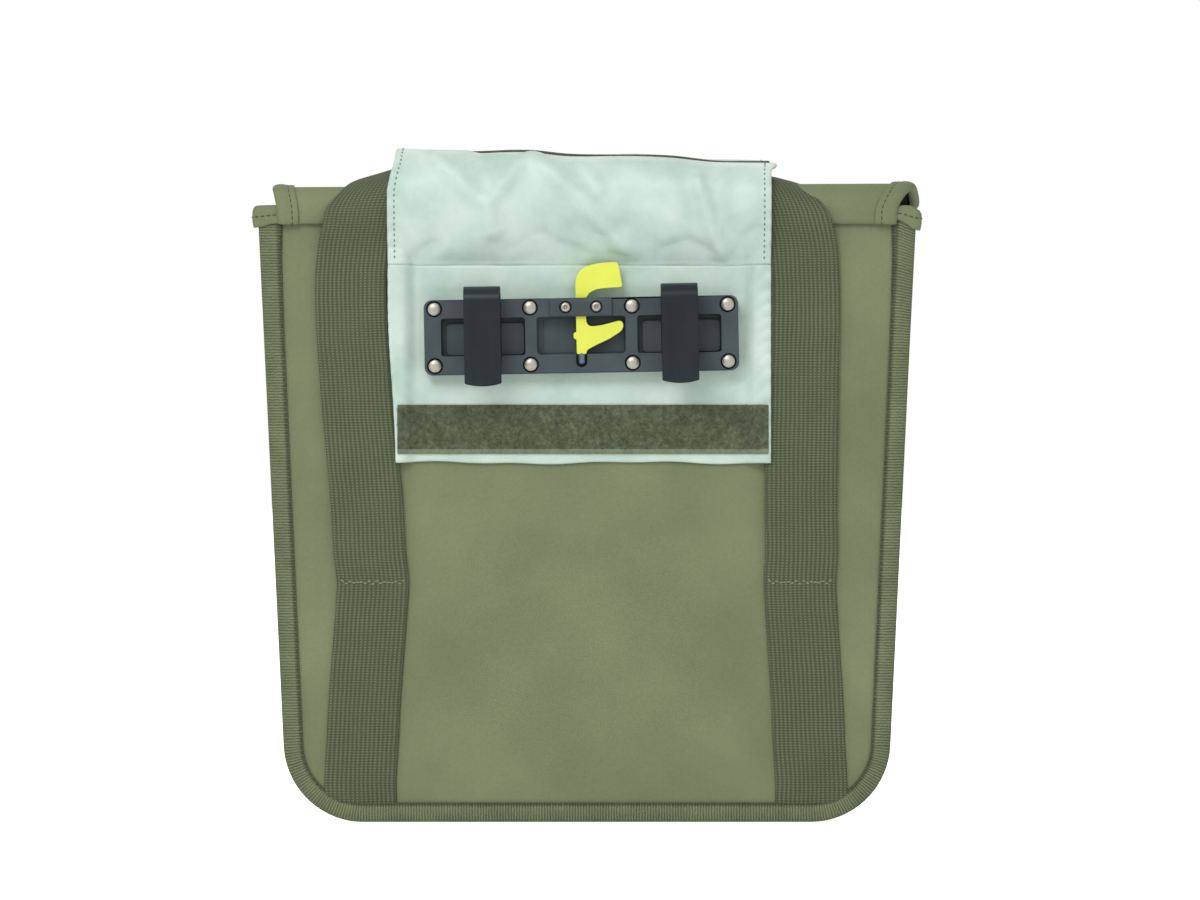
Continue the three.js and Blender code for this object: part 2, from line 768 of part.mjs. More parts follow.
// A rack hook in side view: back leg with its shoe in the rail's window, roof, and front leg.
function rackHook() {
  const back = gap;
  const throatBack = back + hookBackLeg;
  const throatFront = throatBack + hookThroat;
  const front = throatFront + hookFrontLeg;
  const roof = hookAbove - hookRoof;
  const shoe = windowHeight / 2 - gap;
  const heel = windowHeight / 2 + 3;
  const crown = hookInnerRadius + hookRoof - 1;
  const inner = hookInnerRadius;
  const toe = 1.5;
  const shape = new THREE.Shape();
  shape.moveTo(back, -heel);
  shape.lineTo(throatBack, -heel);
  shape.lineTo(throatBack, roof - inner);
  shape.absarc(throatBack + inner, roof - inner, inner, Math.PI, Math.PI / 2, true);
  shape.absarc(throatFront - inner, roof - inner, inner, Math.PI / 2, 0, true);
  shape.lineTo(throatFront, -hookBelow);
  shape.lineTo(front - toe, -hookBelow);
  shape.lineTo(front, -hookBelow + toe);
  shape.absarc(front - crown, hookAbove - crown, crown, 0, Math.PI / 2, false);
  shape.absarc(back + crown, hookAbove - crown, crown, Math.PI / 2, Math.PI, false);
  shape.lineTo(back, shoe);
  shape.lineTo(-hookShoe, shoe);
  shape.lineTo(-hookShoe, -shoe);
  shape.lineTo(back, -shoe);
  return drawAcross(shape, hookWidth);
}

// The lever's flat outlines beside its stem, as shares of its reach and of its heights.
const gripCorners = [
  { reach: -0.1, up: 0.53 },
  { reach: 0.14, up: 0.54 },
  { reach: 0.33, up: 0.615 },
  { reach: 0.86, up: 0.645 },
  { reach: 0.985, up: 0.685 },
  { reach: 0.91, up: 1 },
  { reach: 0.43, up: 0.98 },
  { reach: 0.07, up: 0.89 },
  { reach: -0.11, up: 0.76 },
];
const wingCorners = [
  { reach: 0.08, up: -1 },
  { reach: 0.16, up: -0.65 },
  { reach: 0.93, up: 0.09 },
  { reach: 1, up: 0.46 },
  { reach: 0.91, up: 0.74 },
  { reach: 0.43, up: 0.46 },
  { reach: 0.1, up: 0.46 },
  { reach: -0.1, up: 0.3 },
  { reach: -0.17, up: 0.15 },
  { reach: -0.17, up: -0.17 },
  { reach: -0.1, up: -0.25 },
];

function leverPlate(corners, height) {
  const points = corners.map(({ reach, up }) => new THREE.Vector2(reach * leverReach, up * height));
  return pushOut(new THREE.Shape(points), leverThick).translate(0, leverThick / 2, 0);
}

// The lever: a grip above the rail and a locking wing in its middle window, on one round stem.
function lever() {
  const foot = -windowHeight / 2 - slotDepth + 2;
  const top = leverTop * 0.6;
  const stem = new THREE.CylinderGeometry(stemRadius, stemRadius, top - foot, 12);
  stem.rotateX(Math.PI / 2).translate(0, 0, (top + foot) / 2);
  return join([stem, leverPlate(gripCorners, leverTop), leverPlate(wingCorners, leverFoot)]);
}

function leverBracket() {
  return pushOut(roundedBox(bracketWidth, bracketHeight, 2), bracketThick, 3);
}

// Everything on the rail, in the rail's own frame
function hookRail() {
  const group = new THREE.Group();
  const faceY = -railThick;
  group.add(piece("rail", "rail", rail()));
  const heads = [];
  for (const x of [-rivetOuterX, -rivetInnerX, rivetInnerX, rivetOuterX]) {
    for (const z of [rivetZ, -rivetZ]) heads.push([x, z]);
  }
  heads.forEach(([x, z], index) => {
    const rivet = piece(`rivet_${index + 1}`, "nickel", domeHead(rivetRadius, 0.4, rivetDome, 12));
    rivet.position.set(x, faceY - gap, z);
    group.add(rivet);
  });
  for (const [name, x] of [["hook_left", -windowPitch], ["hook_right", windowPitch]]) {
    const hook = piece(name, "hook", rackHook());
    hook.position.set(x, faceY, 0);
    group.add(hook);
  }
  const bracketZ = (railWidth + windowHeight) / 4;
  const bracket = piece("lever_bracket", "rail", leverBracket());
  bracket.position.set(0, faceY - gap, bracketZ);
  group.add(bracket);
  for (const [name, x] of [["screw_left", -screwX], ["screw_right", screwX]]) {
    const screw = piece(name, "nickel", domeHead(screwRadius, 0.3, screwDome, 10));
    screw.position.set(x, faceY - gap - bracketThick - gap, bracketZ);
    group.add(screw);
  }
  const lock = piece("lever", "lever", lever());
  lock.position.set(0, faceY + leverSink, 0);
  group.add(lock);
  group.position.set(railX, -railOut, railHeight);
  group.rotation.y = -railTilt;
  return group;
}

// The whole pannier
function pannier() {
  const bag = new THREE.Group();
  bag.add(
    piece("back_panel", "canvas", pushIn(panelShape(edgeInset, mouthHeight), backWall, cornerSteps)),
    piece("front_panel", "canvas", pushIn(panelShape(edgeInset, mouthHeight), clothWall, cornerSteps)),
    piece("gusset", "canvas", gusset()),
    piece("back_binding", "tape", seamTape(0, wallStart)),
    piece("front_binding", "tape", seamTape(bagDepth, wallEnd)),
    piece("mouth_band_left", "canvas", sideBand(-1)),
    piece("mouth_band_front", "canvas", frontBand()),
    piece("mouth_band_right", "canvas", sideBand(1)),
    piece("lid", "canvas", lid()),
    piece("lid_binding", "canvas", lidBinding()),
    piece("handle", "webbing", handle()),
    piece("mount_panel", "mint", mountPanel()),
    piece("loop_tape", "fuzz", loopTape()),
    piece("cover_flap", "mint", coverFlap()),
    piece("hook_tape", "fuzz", hookTape()),
    hookRail(),
  );
  bag.getObjectByName("front_panel").position.y = frontPanelY;
  bag.position.y = backFaceY;
  const group = new THREE.Group();
  group.add(bag);
  return group;
}

export default pannier();
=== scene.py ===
"""The look of a shopper-style bicycle pannier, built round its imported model.

It stands on its bottom seams and shows the side that hangs on the rack.
"""

import math

import bmesh
import bpy
import numpy as np
from mathutils import Matrix, Vector, noise


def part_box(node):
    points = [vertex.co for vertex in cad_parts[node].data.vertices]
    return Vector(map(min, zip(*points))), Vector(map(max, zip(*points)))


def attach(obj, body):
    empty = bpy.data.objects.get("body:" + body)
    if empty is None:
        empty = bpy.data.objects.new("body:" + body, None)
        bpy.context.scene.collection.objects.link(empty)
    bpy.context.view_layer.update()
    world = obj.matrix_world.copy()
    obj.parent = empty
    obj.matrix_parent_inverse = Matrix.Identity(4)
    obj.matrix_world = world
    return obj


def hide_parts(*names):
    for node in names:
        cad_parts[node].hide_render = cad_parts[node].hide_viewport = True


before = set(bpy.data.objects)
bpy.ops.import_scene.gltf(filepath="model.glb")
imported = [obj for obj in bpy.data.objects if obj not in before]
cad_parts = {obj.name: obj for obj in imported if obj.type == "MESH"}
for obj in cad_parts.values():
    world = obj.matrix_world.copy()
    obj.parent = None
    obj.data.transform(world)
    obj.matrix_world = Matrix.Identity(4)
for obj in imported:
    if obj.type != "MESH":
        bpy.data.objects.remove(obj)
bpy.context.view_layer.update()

# The photograph's camera and the studio.
# The bag was photographed square on from half its height, through a long lens, on plain white,
# under a wide soft light from the upper left with plenty of fill.
mm = 0.001
back_low, back_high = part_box("back_panel")
back_face = back_low.y
mouth_height = back_high.z
photo_wide = 1200
photo_high = 900
photo_scale = 0.575 * mm
bag_middle_px = 587
bag_foot_px = 822
camera_distance = 2.6


def put(name, data):
    """An object in the scene that shows this data."""
    made = bpy.data.objects.new(name, data)
    bpy.context.scene.collection.objects.link(made)
    return made


camera_data = bpy.data.cameras.new("camera")
camera_data.sensor_width = 36
camera_data.lens = camera_data.sensor_width * camera_distance / (photo_wide * photo_scale)
camera = put("camera", camera_data)
camera.location = (
    (photo_wide / 2 - bag_middle_px) * photo_scale,
    back_face - camera_distance,
    (bag_foot_px - photo_high / 2) * photo_scale,
)
camera.rotation_euler = (math.pi / 2, 0, 0)
bpy.context.scene.camera = camera
bpy.context.scene.view_settings.view_transform = "Standard"

lamps = [
    {"name": "key", "at": (-0.65, -1.8, 1.6), "size": 0.9, "watts": 17},
    {"name": "fill", "at": (1.6, -1.9, 0.7), "size": 1.6, "watts": 2.5},
    {"name": "rim", "at": (0.3, 1.4, 1.5), "size": 1.2, "watts": 5},
]
for lamp in lamps:
    light = bpy.data.lights.new(lamp["name"], "AREA")
    light.size = lamp["size"]
    light.energy = lamp["watts"]
    holder = put(lamp["name"], light)
    holder.location = lamp["at"]
    aim = Vector((0, 0, mouth_height / 2)) - holder.location
    holder.rotation_euler = aim.to_track_quat("-Z", "Y").to_euler()


def linear(code):
    """The linear colour of an sRGB hex value."""
    parts = [int(code[at : at + 2], 16) / 255 for at in (1, 3, 5)]
    return tuple(p / 12.92 if p <= 0.04045 else ((p + 0.055) / 1.055) ** 2.4 for p in parts) + (1,)


def add(tree, kind, feeds=None, stops=None, **settings):
    """Adds a node. Each feed is a value to set, a socket to link, or a node whose first output is linked."""
    node = tree.nodes.new(kind)
    for name, value in settings.items():
        setattr(node, name, value)
    for key, value in (feeds or {}).items():
        if isinstance(value, bpy.types.Node):
            value = value.outputs[0]
        if isinstance(value, bpy.types.NodeSocket):
            tree.links.new(value, node.inputs[key])
        else:
            node.inputs[key].default_value = value
    for index, (position, colour) in enumerate(stops or []):
        marks = node.color_ramp.elements
        mark = marks[index] if index < len(marks) else marks.new(position)
        mark.position = position
        mark.color = linear(colour)
    return node


# The room is plain white to the camera. It lights the bag most from the front, a little from the
# upper left, and least from behind.
brightest_way = (-0.45, -0.7, 0.55)
room_behind = 0.1
room_in_front = 0.9
world = bpy.data.worlds.new("studio")
world.use_nodes = True
room = world.node_tree
way = add(room, "ShaderNodeTexCoord").outputs["Generated"]
along_way = add(room, "ShaderNodeVectorMath", {0: way, 1: brightest_way}, operation="DOT_PRODUCT")
level = add(
    room,
    "ShaderNodeMapRange",
    {0: along_way.outputs["Value"], 1: -1.0, 2: 1.0, 3: room_behind, 4: room_in_front},
)
seen = add(room, "ShaderNodeLightPath").outputs["Is Camera Ray"]
strength = add(room, "ShaderNodeMath", {0: level, 1: seen}, operation="MAXIMUM")
room.nodes["Background"].inputs["Color"].default_value = (1, 1, 1, 1)
room.links.new(strength.outputs[0], room.nodes["Background"].inputs["Strength"])
bpy.context.scene.world = world


# Back panel.
# A stiff flat panel of coated woven polyester, cut with rounded bottom corners and a little
# narrower at the foot. Its weave is half a millimetre, drawn at 1.3 mm so that it shows.
mouth_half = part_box("back_binding")[1].x
bottom_half = 172.4 * mm
corner_radius = 46 * mm
side_lean = math.atan2(mouth_half - bottom_half, mouth_height)
corner_x = bottom_half + corner_radius * math.tan(side_lean) - corner_radius / math.cos(side_lean)
bag_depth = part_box("front_panel")[1].y - back_face
canvas_weave = 1.3 * mm
panel_lump = 70 * mm
panel_edge = 0.12


def blank(name, roughness, **sockets):
    """A new material, with its node tree and its shader."""
    made = bpy.data.materials.new(name)
    made.use_nodes = True
    shader = made.node_tree.nodes["Principled BSDF"]
    shader.inputs["Roughness"].default_value = roughness
    for socket, value in sockets.items():
        shader.inputs[socket.replace("_", " ")].default_value = value
    return made, made.node_tree, shader


def emboss(tree, shader, height, strength, relief):
    """Gives a shader its relief, from a height."""
    bump = add(tree, "ShaderNodeBump", {"Height": height, "Strength": strength, "Distance": relief})
    tree.links.new(bump.outputs["Normal"], shader.inputs["Normal"])


def surface(tree, shader, tone, stops, height, strength, relief):
    """Gives a shader its colours, from a tone, and its relief, from a height."""
    ramp = add(tree, "ShaderNodeValToRGB", {"Fac": tone}, stops=stops)
    tree.links.new(ramp.outputs["Color"], shader.inputs["Base Color"])
    emboss(tree, shader, height, strength, relief)


def wave_scale(pitch):
    """The Scale of a Wave Texture whose bands lie a pitch apart."""
    return math.pi / 10 / pitch


def coated_canvas(name, dark, mid, light):
    """Coated polyester: a fine even weave under a matt film, with soft patches where it scuffs."""
    made, tree, shader = blank(name, 0.75, Specular_IOR_Level=0.3)
    place = add(tree, "ShaderNodeUVMap", uv_map="cloth").outputs["UV"]
    patches = add(tree, "ShaderNodeTexNoise", {"Vector": place, "Scale": 14, "Detail": 4, "Roughness": 0.5})
    grain = add(tree, "ShaderNodeTexNoise", {"Vector": place, "Scale": 420, "Detail": 2})
    threads = {"Vector": place, "Scale": wave_scale(canvas_weave), "Distortion": 0.6, "Detail Scale": 3}
    warp, weft = [
        add(tree, "ShaderNodeTexWave", threads, bands_direction=way).outputs["Fac"] for way in "XY"
    ]
    weave = add(tree, "ShaderNodeMath", {0: warp, 1: weft}, operation="MULTIPLY")
    speck = add(tree, "ShaderNodeMath", {0: grain, 1: 0.28, 2: -0.14}, operation="MULTIPLY_ADD")
    lifted = add(tree, "ShaderNodeMath", {0: weave, 1: 0.16, 2: speck}, operation="MULTIPLY_ADD")
    tone = add(tree, "ShaderNodeMath", {0: patches, 1: lifted}, operation="ADD")
    relief = add(tree, "ShaderNodeMath", {0: grain, 1: 0.5, 2: weave}, operation="MULTIPLY_ADD")
    surface(tree, shader, tone, [(0.2, dark), (0.9, light), (0.55, mid)], relief, 0.5, 0.12 * mm)
    return made


def smooth(rows, steps):
    """A soft curve through rows of numbers, with so many steps from each row to the next."""
    rows = np.asarray(rows, float)
    padded = np.vstack([2 * rows[0] - rows[1], rows, 2 * rows[-1] - rows[-2]])
    t = (np.arange(steps) / steps)[:, None]
    spans = [
        0.5 * (2 * b + (c - a) * t + (2 * a - 5 * b + 4 * c - d) * t**2 + (3 * b - a - 3 * c + d) * t**3)
        for a, b, c, d in zip(padded, padded[1:], padded[2:], padded[3:])
    ]
    return np.vstack([*spans, rows[-1:]])


def step_between(low, high, value):
    """0 below the low value, 1 above the high one, and a soft rise between."""
    share = np.clip((value - low) / (high - low), 0, 1)
    return share * share * (3 - 2 * share)


def wander(points, size, seed):
    """Soft noise from -1 to 1 at each point, with lumps of that size."""
    flat = np.asarray(points).reshape(-1, 3) / size + seed
    made = np.array([noise.noise(Vector(point)) for point in flat])
    return made.reshape(np.asarray(points).shape[:-1])


def looks(grid):
    """The way that each point of a grid faces."""
    across = np.gradient(grid, axis=1)
    along = np.gradient(grid, axis=0)
    normal = np.cross(across, along)
    return normal / np.maximum(np.linalg.norm(normal, axis=2, keepdims=True), 1e-12)


def travelled(grid, axis):
    """How far each point of a grid lies along one of its ways."""
    steps = np.linalg.norm(np.diff(grid, axis=axis), axis=2)
    total = np.cumsum(steps, axis=axis)
    return np.concatenate([np.zeros_like(np.take(steps, [0], axis=axis)), total], axis=axis)


def mesh_from(name, points, edges=(), faces=()):
    """A mesh of points, and of the edges or faces between them."""
    made = bpy.data.meshes.new(name)
    made.from_pydata(points, list(edges), list(faces))
    return made


def soften(mesh):
    """Shades a mesh smooth."""
    mesh.polygons.foreach_set("use_smooth", [True] * len(mesh.polygons))


def wall(name, grid, thick, rim=0.35, lined=False, straight=False):
    """A closed cloth wall round a grid of middle points, with a rounded edge and a UV map in metres.
    Where it is lined, its inner side takes the piece's second material. Where it is a straight tape,
    its weave runs square across it everywhere."""
    rows, columns = grid.shape[:2]
    normal = looks(grid)
    outer = grid + normal * (thick / 2)
    inner = grid - normal * (thick / 2)
    edge = [(0, c) for c in range(columns - 1)] + [(r, columns - 1) for r in range(rows - 1)]
    edge += [(rows - 1, c) for c in range(columns - 1, 0, -1)] + [(r, 0) for r in range(rows - 1, 0, -1)]
    middle = []
    for r, c in edge:
        inside = grid[min(max(r, 1), rows - 2), min(max(c, 1), columns - 2)]
        away = grid[r, c] - inside
        middle.append(grid[r, c] + away / max(np.linalg.norm(away), 1e-9) * thick * rim)
    points = np.concatenate([outer.reshape(-1, 3), inner.reshape(-1, 3), np.array(middle)])
    size = rows * columns
    faces = []
    for r in range(rows - 1):
        for c in range(columns - 1):
            a = r * columns + c
            faces.append((a, a + 1, a + columns + 1, a + columns))
            faces.append((size + a, size + a + columns, size + a + columns + 1, size + a + 1))
    for index, (r, c) in enumerate(edge):
        after = (index + 1) % len(edge)
        here, there = r * columns + c, edge[after][0] * columns + edge[after][1]
        near, far = 2 * size + index, 2 * size + after
        faces.append((there, here, near, far))
        faces.append((far, near, size + here, size + there))
    mesh = mesh_from(name, points.tolist(), faces=faces)
    u, v = travelled(grid, 1), travelled(grid, 0)
    if straight:
        v = np.repeat(v.mean(axis=1, keepdims=True), columns, axis=1)
    flat = np.stack([u - u[:, -1:] / 2, v], axis=2).reshape(-1, 2)
    rim_flat = np.array([flat[r * columns + c] for r, c in edge])
    spread = np.concatenate([flat, flat, rim_flat])
    corners = np.zeros(len(mesh.loops), np.int32)
    mesh.loops.foreach_get("vertex_index", corners)
    layer = mesh.uv_layers.new(name="cloth")
    layer.data.foreach_set("uv", spread[corners].astype(np.float32).ravel())
    soften(mesh)
    cells = (rows - 1) * (columns - 1)
    sides = [0, int(lined)] * cells + [0] * (2 * len(edge))
    mesh.polygons.foreach_set("material_index", sides)
    mesh.update()
    return mesh


def fit(name, mesh, material, nodes=(), body="bag", inner=None):
    """Puts a finished mesh on a body, in place of the nodes that it stands for."""
    made = put(name, mesh)
    for finish in (material, inner):
        if finish:
            mesh.materials.append(finish)
    if nodes:
        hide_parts(*nodes)
    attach(made, body)
    return made


def panel_grid(inset, face, sag, seed):
    """A panel's middle points: its outline is the bag's, a distance in, and it sags a little."""
    radius = corner_radius - inset
    angles = np.linspace(0, math.pi / 2 - side_lean, 14)
    low = [(corner_radius - radius * math.cos(a), corner_x + radius * math.sin(a)) for a in angles]
    heights = np.linspace(low[-1][0], mouth_height, 76)[1:]
    lean = math.tan(side_lean)
    high = [(z, bottom_half + z * lean - inset / math.cos(side_lean)) for z in heights]
    shares = np.linspace(-1, 1, 97)
    grid = np.array([[(share * half, face, z) for share in shares] for z, half in low + high])
    lumps = 0.5 + 0.5 * wander(grid * (1, 0, 0.6), panel_lump, seed)
    fade = np.minimum(1 - np.abs(shares)[None, :], panel_edge) / panel_edge
    grid[..., 1] += sag * lumps * fade
    return grid


olive = coated_canvas("coated_polyester_canvas", "#697153", "#767e5e", "#848a69")
sewn_in = 1.3 * mm
back_wall = back_high.y - back_low.y
back_grid = panel_grid(sewn_in, back_face + back_wall / 2, 0.5 * mm, 3.1)
fit("back_cloth", wall("back_cloth", back_grid, back_wall), olive, ["back_panel"])

# Front panel.
# The same cloth without a stiffener, so it swells and dents a little more. The lid hangs over
# its upper half.
front_low, front_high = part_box("front_panel")
front_wall = front_high.y - front_low.y
front_grid = panel_grid(sewn_in, (front_low.y + front_high.y) / 2, -2.2 * mm, 8.4)[:, ::-1]
fit("front_cloth", wall("front_cloth", front_grid, front_wall), olive, ["front_panel"])

# Gusset.
# Both soft sides and the bottom are one strip of the same cloth, sewn to the two panels with a
# flange along each seam. Near the mouth it swells out as far as the bindings.
gusset_inset = 10 * mm
gusset_swell = 10.5 * mm
gusset_dent = 0.9 * mm
corner_fall = 4.5 * mm
cloth_wall = 2 * mm
gap = 0.3 * mm
back_seam = back_wall + gap + cloth_wall
front_seam = bag_depth - cloth_wall - gap - cloth_wall
# Columns: share of the mouth's height, share of the swell
side_rows = [(1, 1), (0.965, 1), (0.915, 0.75), (0.8, 0.5), (0.6, 0.38), (0.38, 0.3), (0.18, 0.2)]
# Columns: share of the way from the back seam to the front seam, share of the swell
swell_rows = [
    (0, 0), (0.04, 0.14), (0.12, 0.42), (0.3, 0.85), (0.5, 1),
    (0.7, 0.85), (0.88, 0.42), (0.96, 0.14), (1, 0),
]


def outline(straight_steps, corner_steps):
    """Places round the bag's edge: a point on it, the way in from it, and the swell there."""
    rows = []
    lean = math.tan(side_lean)
    for share in np.linspace(1, side_rows[-1][0], straight_steps):
        z = share * mouth_height
        swell = np.interp(share, *np.array(side_rows[::-1]).T)
        rows.append((bottom_half + z * lean, z, -1 / math.cos(side_lean), 0, swell))
    for share in np.linspace(0, 1, corner_steps):
        angle = -side_lean - (math.pi / 2 - side_lean) * share
        reach = (math.cos(angle), math.sin(angle))
        start = (corner_x + corner_radius * reach[0], corner_radius * (1 + reach[1]))
        rows.append((*start, -reach[0], -reach[1], 0.12 * (1 - share)))
    right = np.array(rows)
    middle = np.array([(x, 0, 0, 1, 0) for x in np.linspace(corner_x, -corner_x, 40)[1:-1]])
    left = right[::-1] * (-1, 1, -1, 1, 1)
    return np.vstack([right, middle, left])[::-1]


def droop(points):
    """The bag's right mouth corner hangs a few millimetres lower than the left one."""
    fall = corner_fall * step_between(176 * mm, 191 * mm, points[..., 0])
    points[..., 2] -= fall * step_between(0.72 * mouth_height, mouth_height, points[..., 2])
    return points


def round_edge(profile, straight_steps=48, corner_steps=18):
    """Carries a profile of insets and depths round the bag's edge. It may hang on the swell."""
    rows = []
    for x, z, in_x, in_z, swell in outline(straight_steps, corner_steps):
        rows.append([(x + in_x * inset, back_face + y, z + in_z * inset) for inset, y in profile(swell)])
    return droop(np.array(rows))


def gusset_profile(swell):
    flange = gusset_inset - cloth_wall / 2
    half = cloth_wall / 2
    deep = smooth(swell_rows, 3)
    wall_line = [
        (gusset_inset + half - swell * gusset_swell * out, back_seam + (front_seam - back_seam) * along)
        for along, out in deep
    ]
    back_leg = [(1.6 * mm, back_seam - half), (flange, back_seam - half)]
    front_leg = [(flange, front_seam + half), (1.6 * mm, front_seam + half)]
    return [*back_leg, *wall_line, *front_leg]


gusset_grid = round_edge(gusset_profile)
dents = wander(gusset_grid * (1, 0.5, 1), 45 * mm, 5.3) + 0.5 * wander(gusset_grid, 19 * mm, 1.7)
inside = step_between(0, 0.16, np.linspace(0, 1, gusset_grid.shape[1]))
inside = (inside * inside[::-1])[None, :, None]
gusset_grid += looks(gusset_grid) * (gusset_dent * dents[..., None] * inside)
fit("gusset_cloth", wall("gusset_cloth", gusset_grid[:, ::-1], cloth_wall), olive, ["gusset"])


# Seam bindings.
# Ribbed woven tape, folded over the raw edges of panel and gusset and sewn through once near its inner edge.
# Shade is painted along a groove and at its edges. Its ribs are 1.2 mm apart, and drawn at 1.6 mm to show.
tape_wall = 1 * mm
tape_face = 11 * mm
tape_spread = 2.3 * mm
rib_pitch = 1.6 * mm
stitch_pitch = 3.4 * mm
stitch_inset = 10.2 * mm
stitch_length = 2.4 * mm
stitch_radius = 0.4 * mm


def binding_tape():
    """Woven polyester tape: matt, with raised cross ribs, and shade painted along a groove and at both edges.
    """
    made, tree, shader = blank("woven_binding_tape", 0.88, Specular_IOR_Level=0.25)
    place = add(tree, "ShaderNodeUVMap", uv_map="cloth").outputs["UV"]
    ribs = add(
        tree,
        "ShaderNodeTexWave",
        {"Vector": place, "Scale": wave_scale(rib_pitch), "Distortion": 2.2, "Detail": 2, "Detail Scale": 2},
        bands_direction="Y",
    )
    fibres = add(tree, "ShaderNodeTexNoise", {"Vector": place, "Scale": 900, "Detail": 3})
    patches = add(tree, "ShaderNodeTexNoise", {"Vector": place, "Scale": 60, "Detail": 3})
    across = add(tree, "ShaderNodeSeparateXYZ", {"Vector": place}).outputs["X"]
    share = add(tree, "ShaderNodeMath", {0: across, 1: 1 / (22 * mm), 2: 0.5}, operation="MULTIPLY_ADD")
    # Painted shade: the tape is darker at both edges, in a stripe along a groove, and faintly along its
    # middle.
    painted_tape_shade = add(
        tree,
        "ShaderNodeValToRGB",
        {"Fac": share},
        stops=[
            (0.0, "#c4c4c4"), (1.0, "#c4c4c4"), (0.07, "#ffffff"), (0.2, "#ffffff"), (0.27, "#b4b8ac"),
            (0.34, "#ffffff"), (0.47, "#e6e6e6"), (0.93, "#ffffff"),
        ],
    )
    rough = add(tree, "ShaderNodeMath", {0: fibres, 1: 0.5, 2: -0.25}, operation="MULTIPLY_ADD")
    tone = add(
        tree, "ShaderNodeMath", {0: ribs.outputs["Fac"], 1: 0.55, 2: rough}, operation="MULTIPLY_ADD"
    )
    blotched = add(tree, "ShaderNodeMath", {0: patches, 1: 0.5, 2: tone}, operation="MULTIPLY_ADD")
    ramp = add(
        tree,
        "ShaderNodeValToRGB",
        {"Fac": blotched},
        stops=[(0.12, "#4a513b"), (0.9, "#828969"), (0.5, "#687054")],
    )
    colour = add(
        tree,
        "ShaderNodeMix",
        {0: 1.0, 6: ramp.outputs["Color"], 7: painted_tape_shade.outputs["Color"]},
        data_type="RGBA",
        blend_type="MULTIPLY",
    )
    tree.links.new(colour.outputs[2], shader.inputs["Base Color"])
    emboss(tree, shader, tone, 0.8, 0.3 * mm)
    return made


def thread(name, code):
    """Bonded sewing thread: smooth, a little glossy, with a faint twist."""
    made, tree, shader = blank(name, 0.5)
    place = add(tree, "ShaderNodeTexCoord").outputs["Object"]
    twist = add(tree, "ShaderNodeTexNoise", {"Vector": place, "Scale": 1500, "Detail": 2})
    shader.inputs["Base Color"].default_value = linear(code)
    emboss(tree, shader, twist, 0.4, 0.1 * mm)
    return made


def tape_profile(face, back, facing, swell):
    """A tape folded over an edge: from its inner edge on the panel, round to the gusset's side.
    It is flattened wider towards the mouth."""
    half = tape_wall / 2
    wider = tape_spread * swell**2
    rows = [
        (tape_face + wider, face + facing * half),
        (stitch_inset + wider, face + facing * 0.25 * mm),
        (7 * mm, face + facing * 0.8 * mm),
        (4 * mm, face + facing * 0.9 * mm),
        (1.2 * mm, face + facing * 0.55 * mm),
        (0.5 * mm, face - facing * 0.6 * mm),
        (0.5 * mm, back + facing * 0.6 * mm),
        (1.2 * mm, back - facing * 0.55 * mm),
        (4 * mm, back - facing * 0.8 * mm),
        (8 * mm, back - facing * half),
    ]
    return smooth(rows, 2)


def begin_tree(name, **inputs):
    """A new Geometry Nodes tree and its input sockets. A number is an input's value, a word its kind."""
    tree = bpy.data.node_groups.new(name, "GeometryNodeTree")
    sockets = tree.interface
    for label, value in {"Geometry": "Geometry", **inputs}.items():
        kind = value if isinstance(value, str) else "Float"
        made = sockets.new_socket(label, in_out="INPUT", socket_type=f"NodeSocket{kind}")
        if kind == "Float":
            made.default_value = value
    sockets.new_socket("Geometry", in_out="OUTPUT", socket_type="NodeSocketGeometry")
    return tree, add(tree, "NodeGroupInput").outputs


def end_tree(tree, laid, material):
    """Ends a tree: what it laid becomes plain geometry in one material."""
    real = add(tree, "GeometryNodeRealizeInstances", {"Geometry": laid})
    finished = add(tree, "GeometryNodeSetMaterial", {"Geometry": real, "Material": material})
    add(tree, "NodeGroupOutput", {"Geometry": finished})
    return tree


def stitch_tree():
    """Lays stitches along a curve: a short rounded bar every pitch, following the curve."""
    tree, start = begin_tree(
        "stitches", Pitch=stitch_pitch, Length=stitch_length, Radius=stitch_radius, Thread="Material"
    )
    line = add(tree, "GeometryNodeMeshToCurve", {"Mesh": start["Geometry"]})
    spots = add(tree, "GeometryNodeCurveToPoints", {"Curve": line, "Length": start["Pitch"]}, mode="LENGTH")
    bar = add(tree, "GeometryNodeMeshUVSphere", {"Segments": 8, "Rings": 6, "Radius": start["Radius"]})
    slim = add(tree, "ShaderNodeMath", {0: start["Length"], 1: start["Radius"]}, operation="DIVIDE")
    stretch = add(tree, "ShaderNodeMath", {0: slim, 1: 0.5}, operation="MULTIPLY")
    scale = add(tree, "ShaderNodeCombineXYZ", {0: 1.0, 1: 1.0, 2: stretch})
    turn = add(tree, "FunctionNodeAlignRotationToVector", {"Vector": spots.outputs["Tangent"]}, axis="Z")
    laid = add(
        tree,
        "GeometryNodeInstanceOnPoints",
        {
            "Points": spots.outputs["Points"],
            "Instance": bar.outputs["Mesh"],
            "Rotation": turn.outputs["Rotation"],
            "Scale": scale,
        },
    )
    return end_tree(tree, laid, start["Thread"])


stitches = stitch_tree()


def as_mesh(name, carrier):
    """The plain mesh that a carrier's modifiers make of it. The carrier is removed."""
    depsgraph = bpy.context.evaluated_depsgraph_get()
    made = bpy.data.meshes.new_from_object(carrier.evaluated_get(depsgraph))
    made.name = name
    bpy.data.objects.remove(carrier)
    return made


def grow(name, mesh, tree, **inputs):
    """The plain mesh that a Geometry Nodes tree makes of a mesh, with its inputs set."""
    carrier = put(name, mesh)
    modifier = carrier.modifiers.new(tree.name, "NODES")
    modifier.node_group = tree
    for item in tree.interface.items_tree:
        if item.in_out == "INPUT" and item.name in inputs:
            modifier[item.identifier] = inputs[item.name]
    return as_mesh(name, carrier)


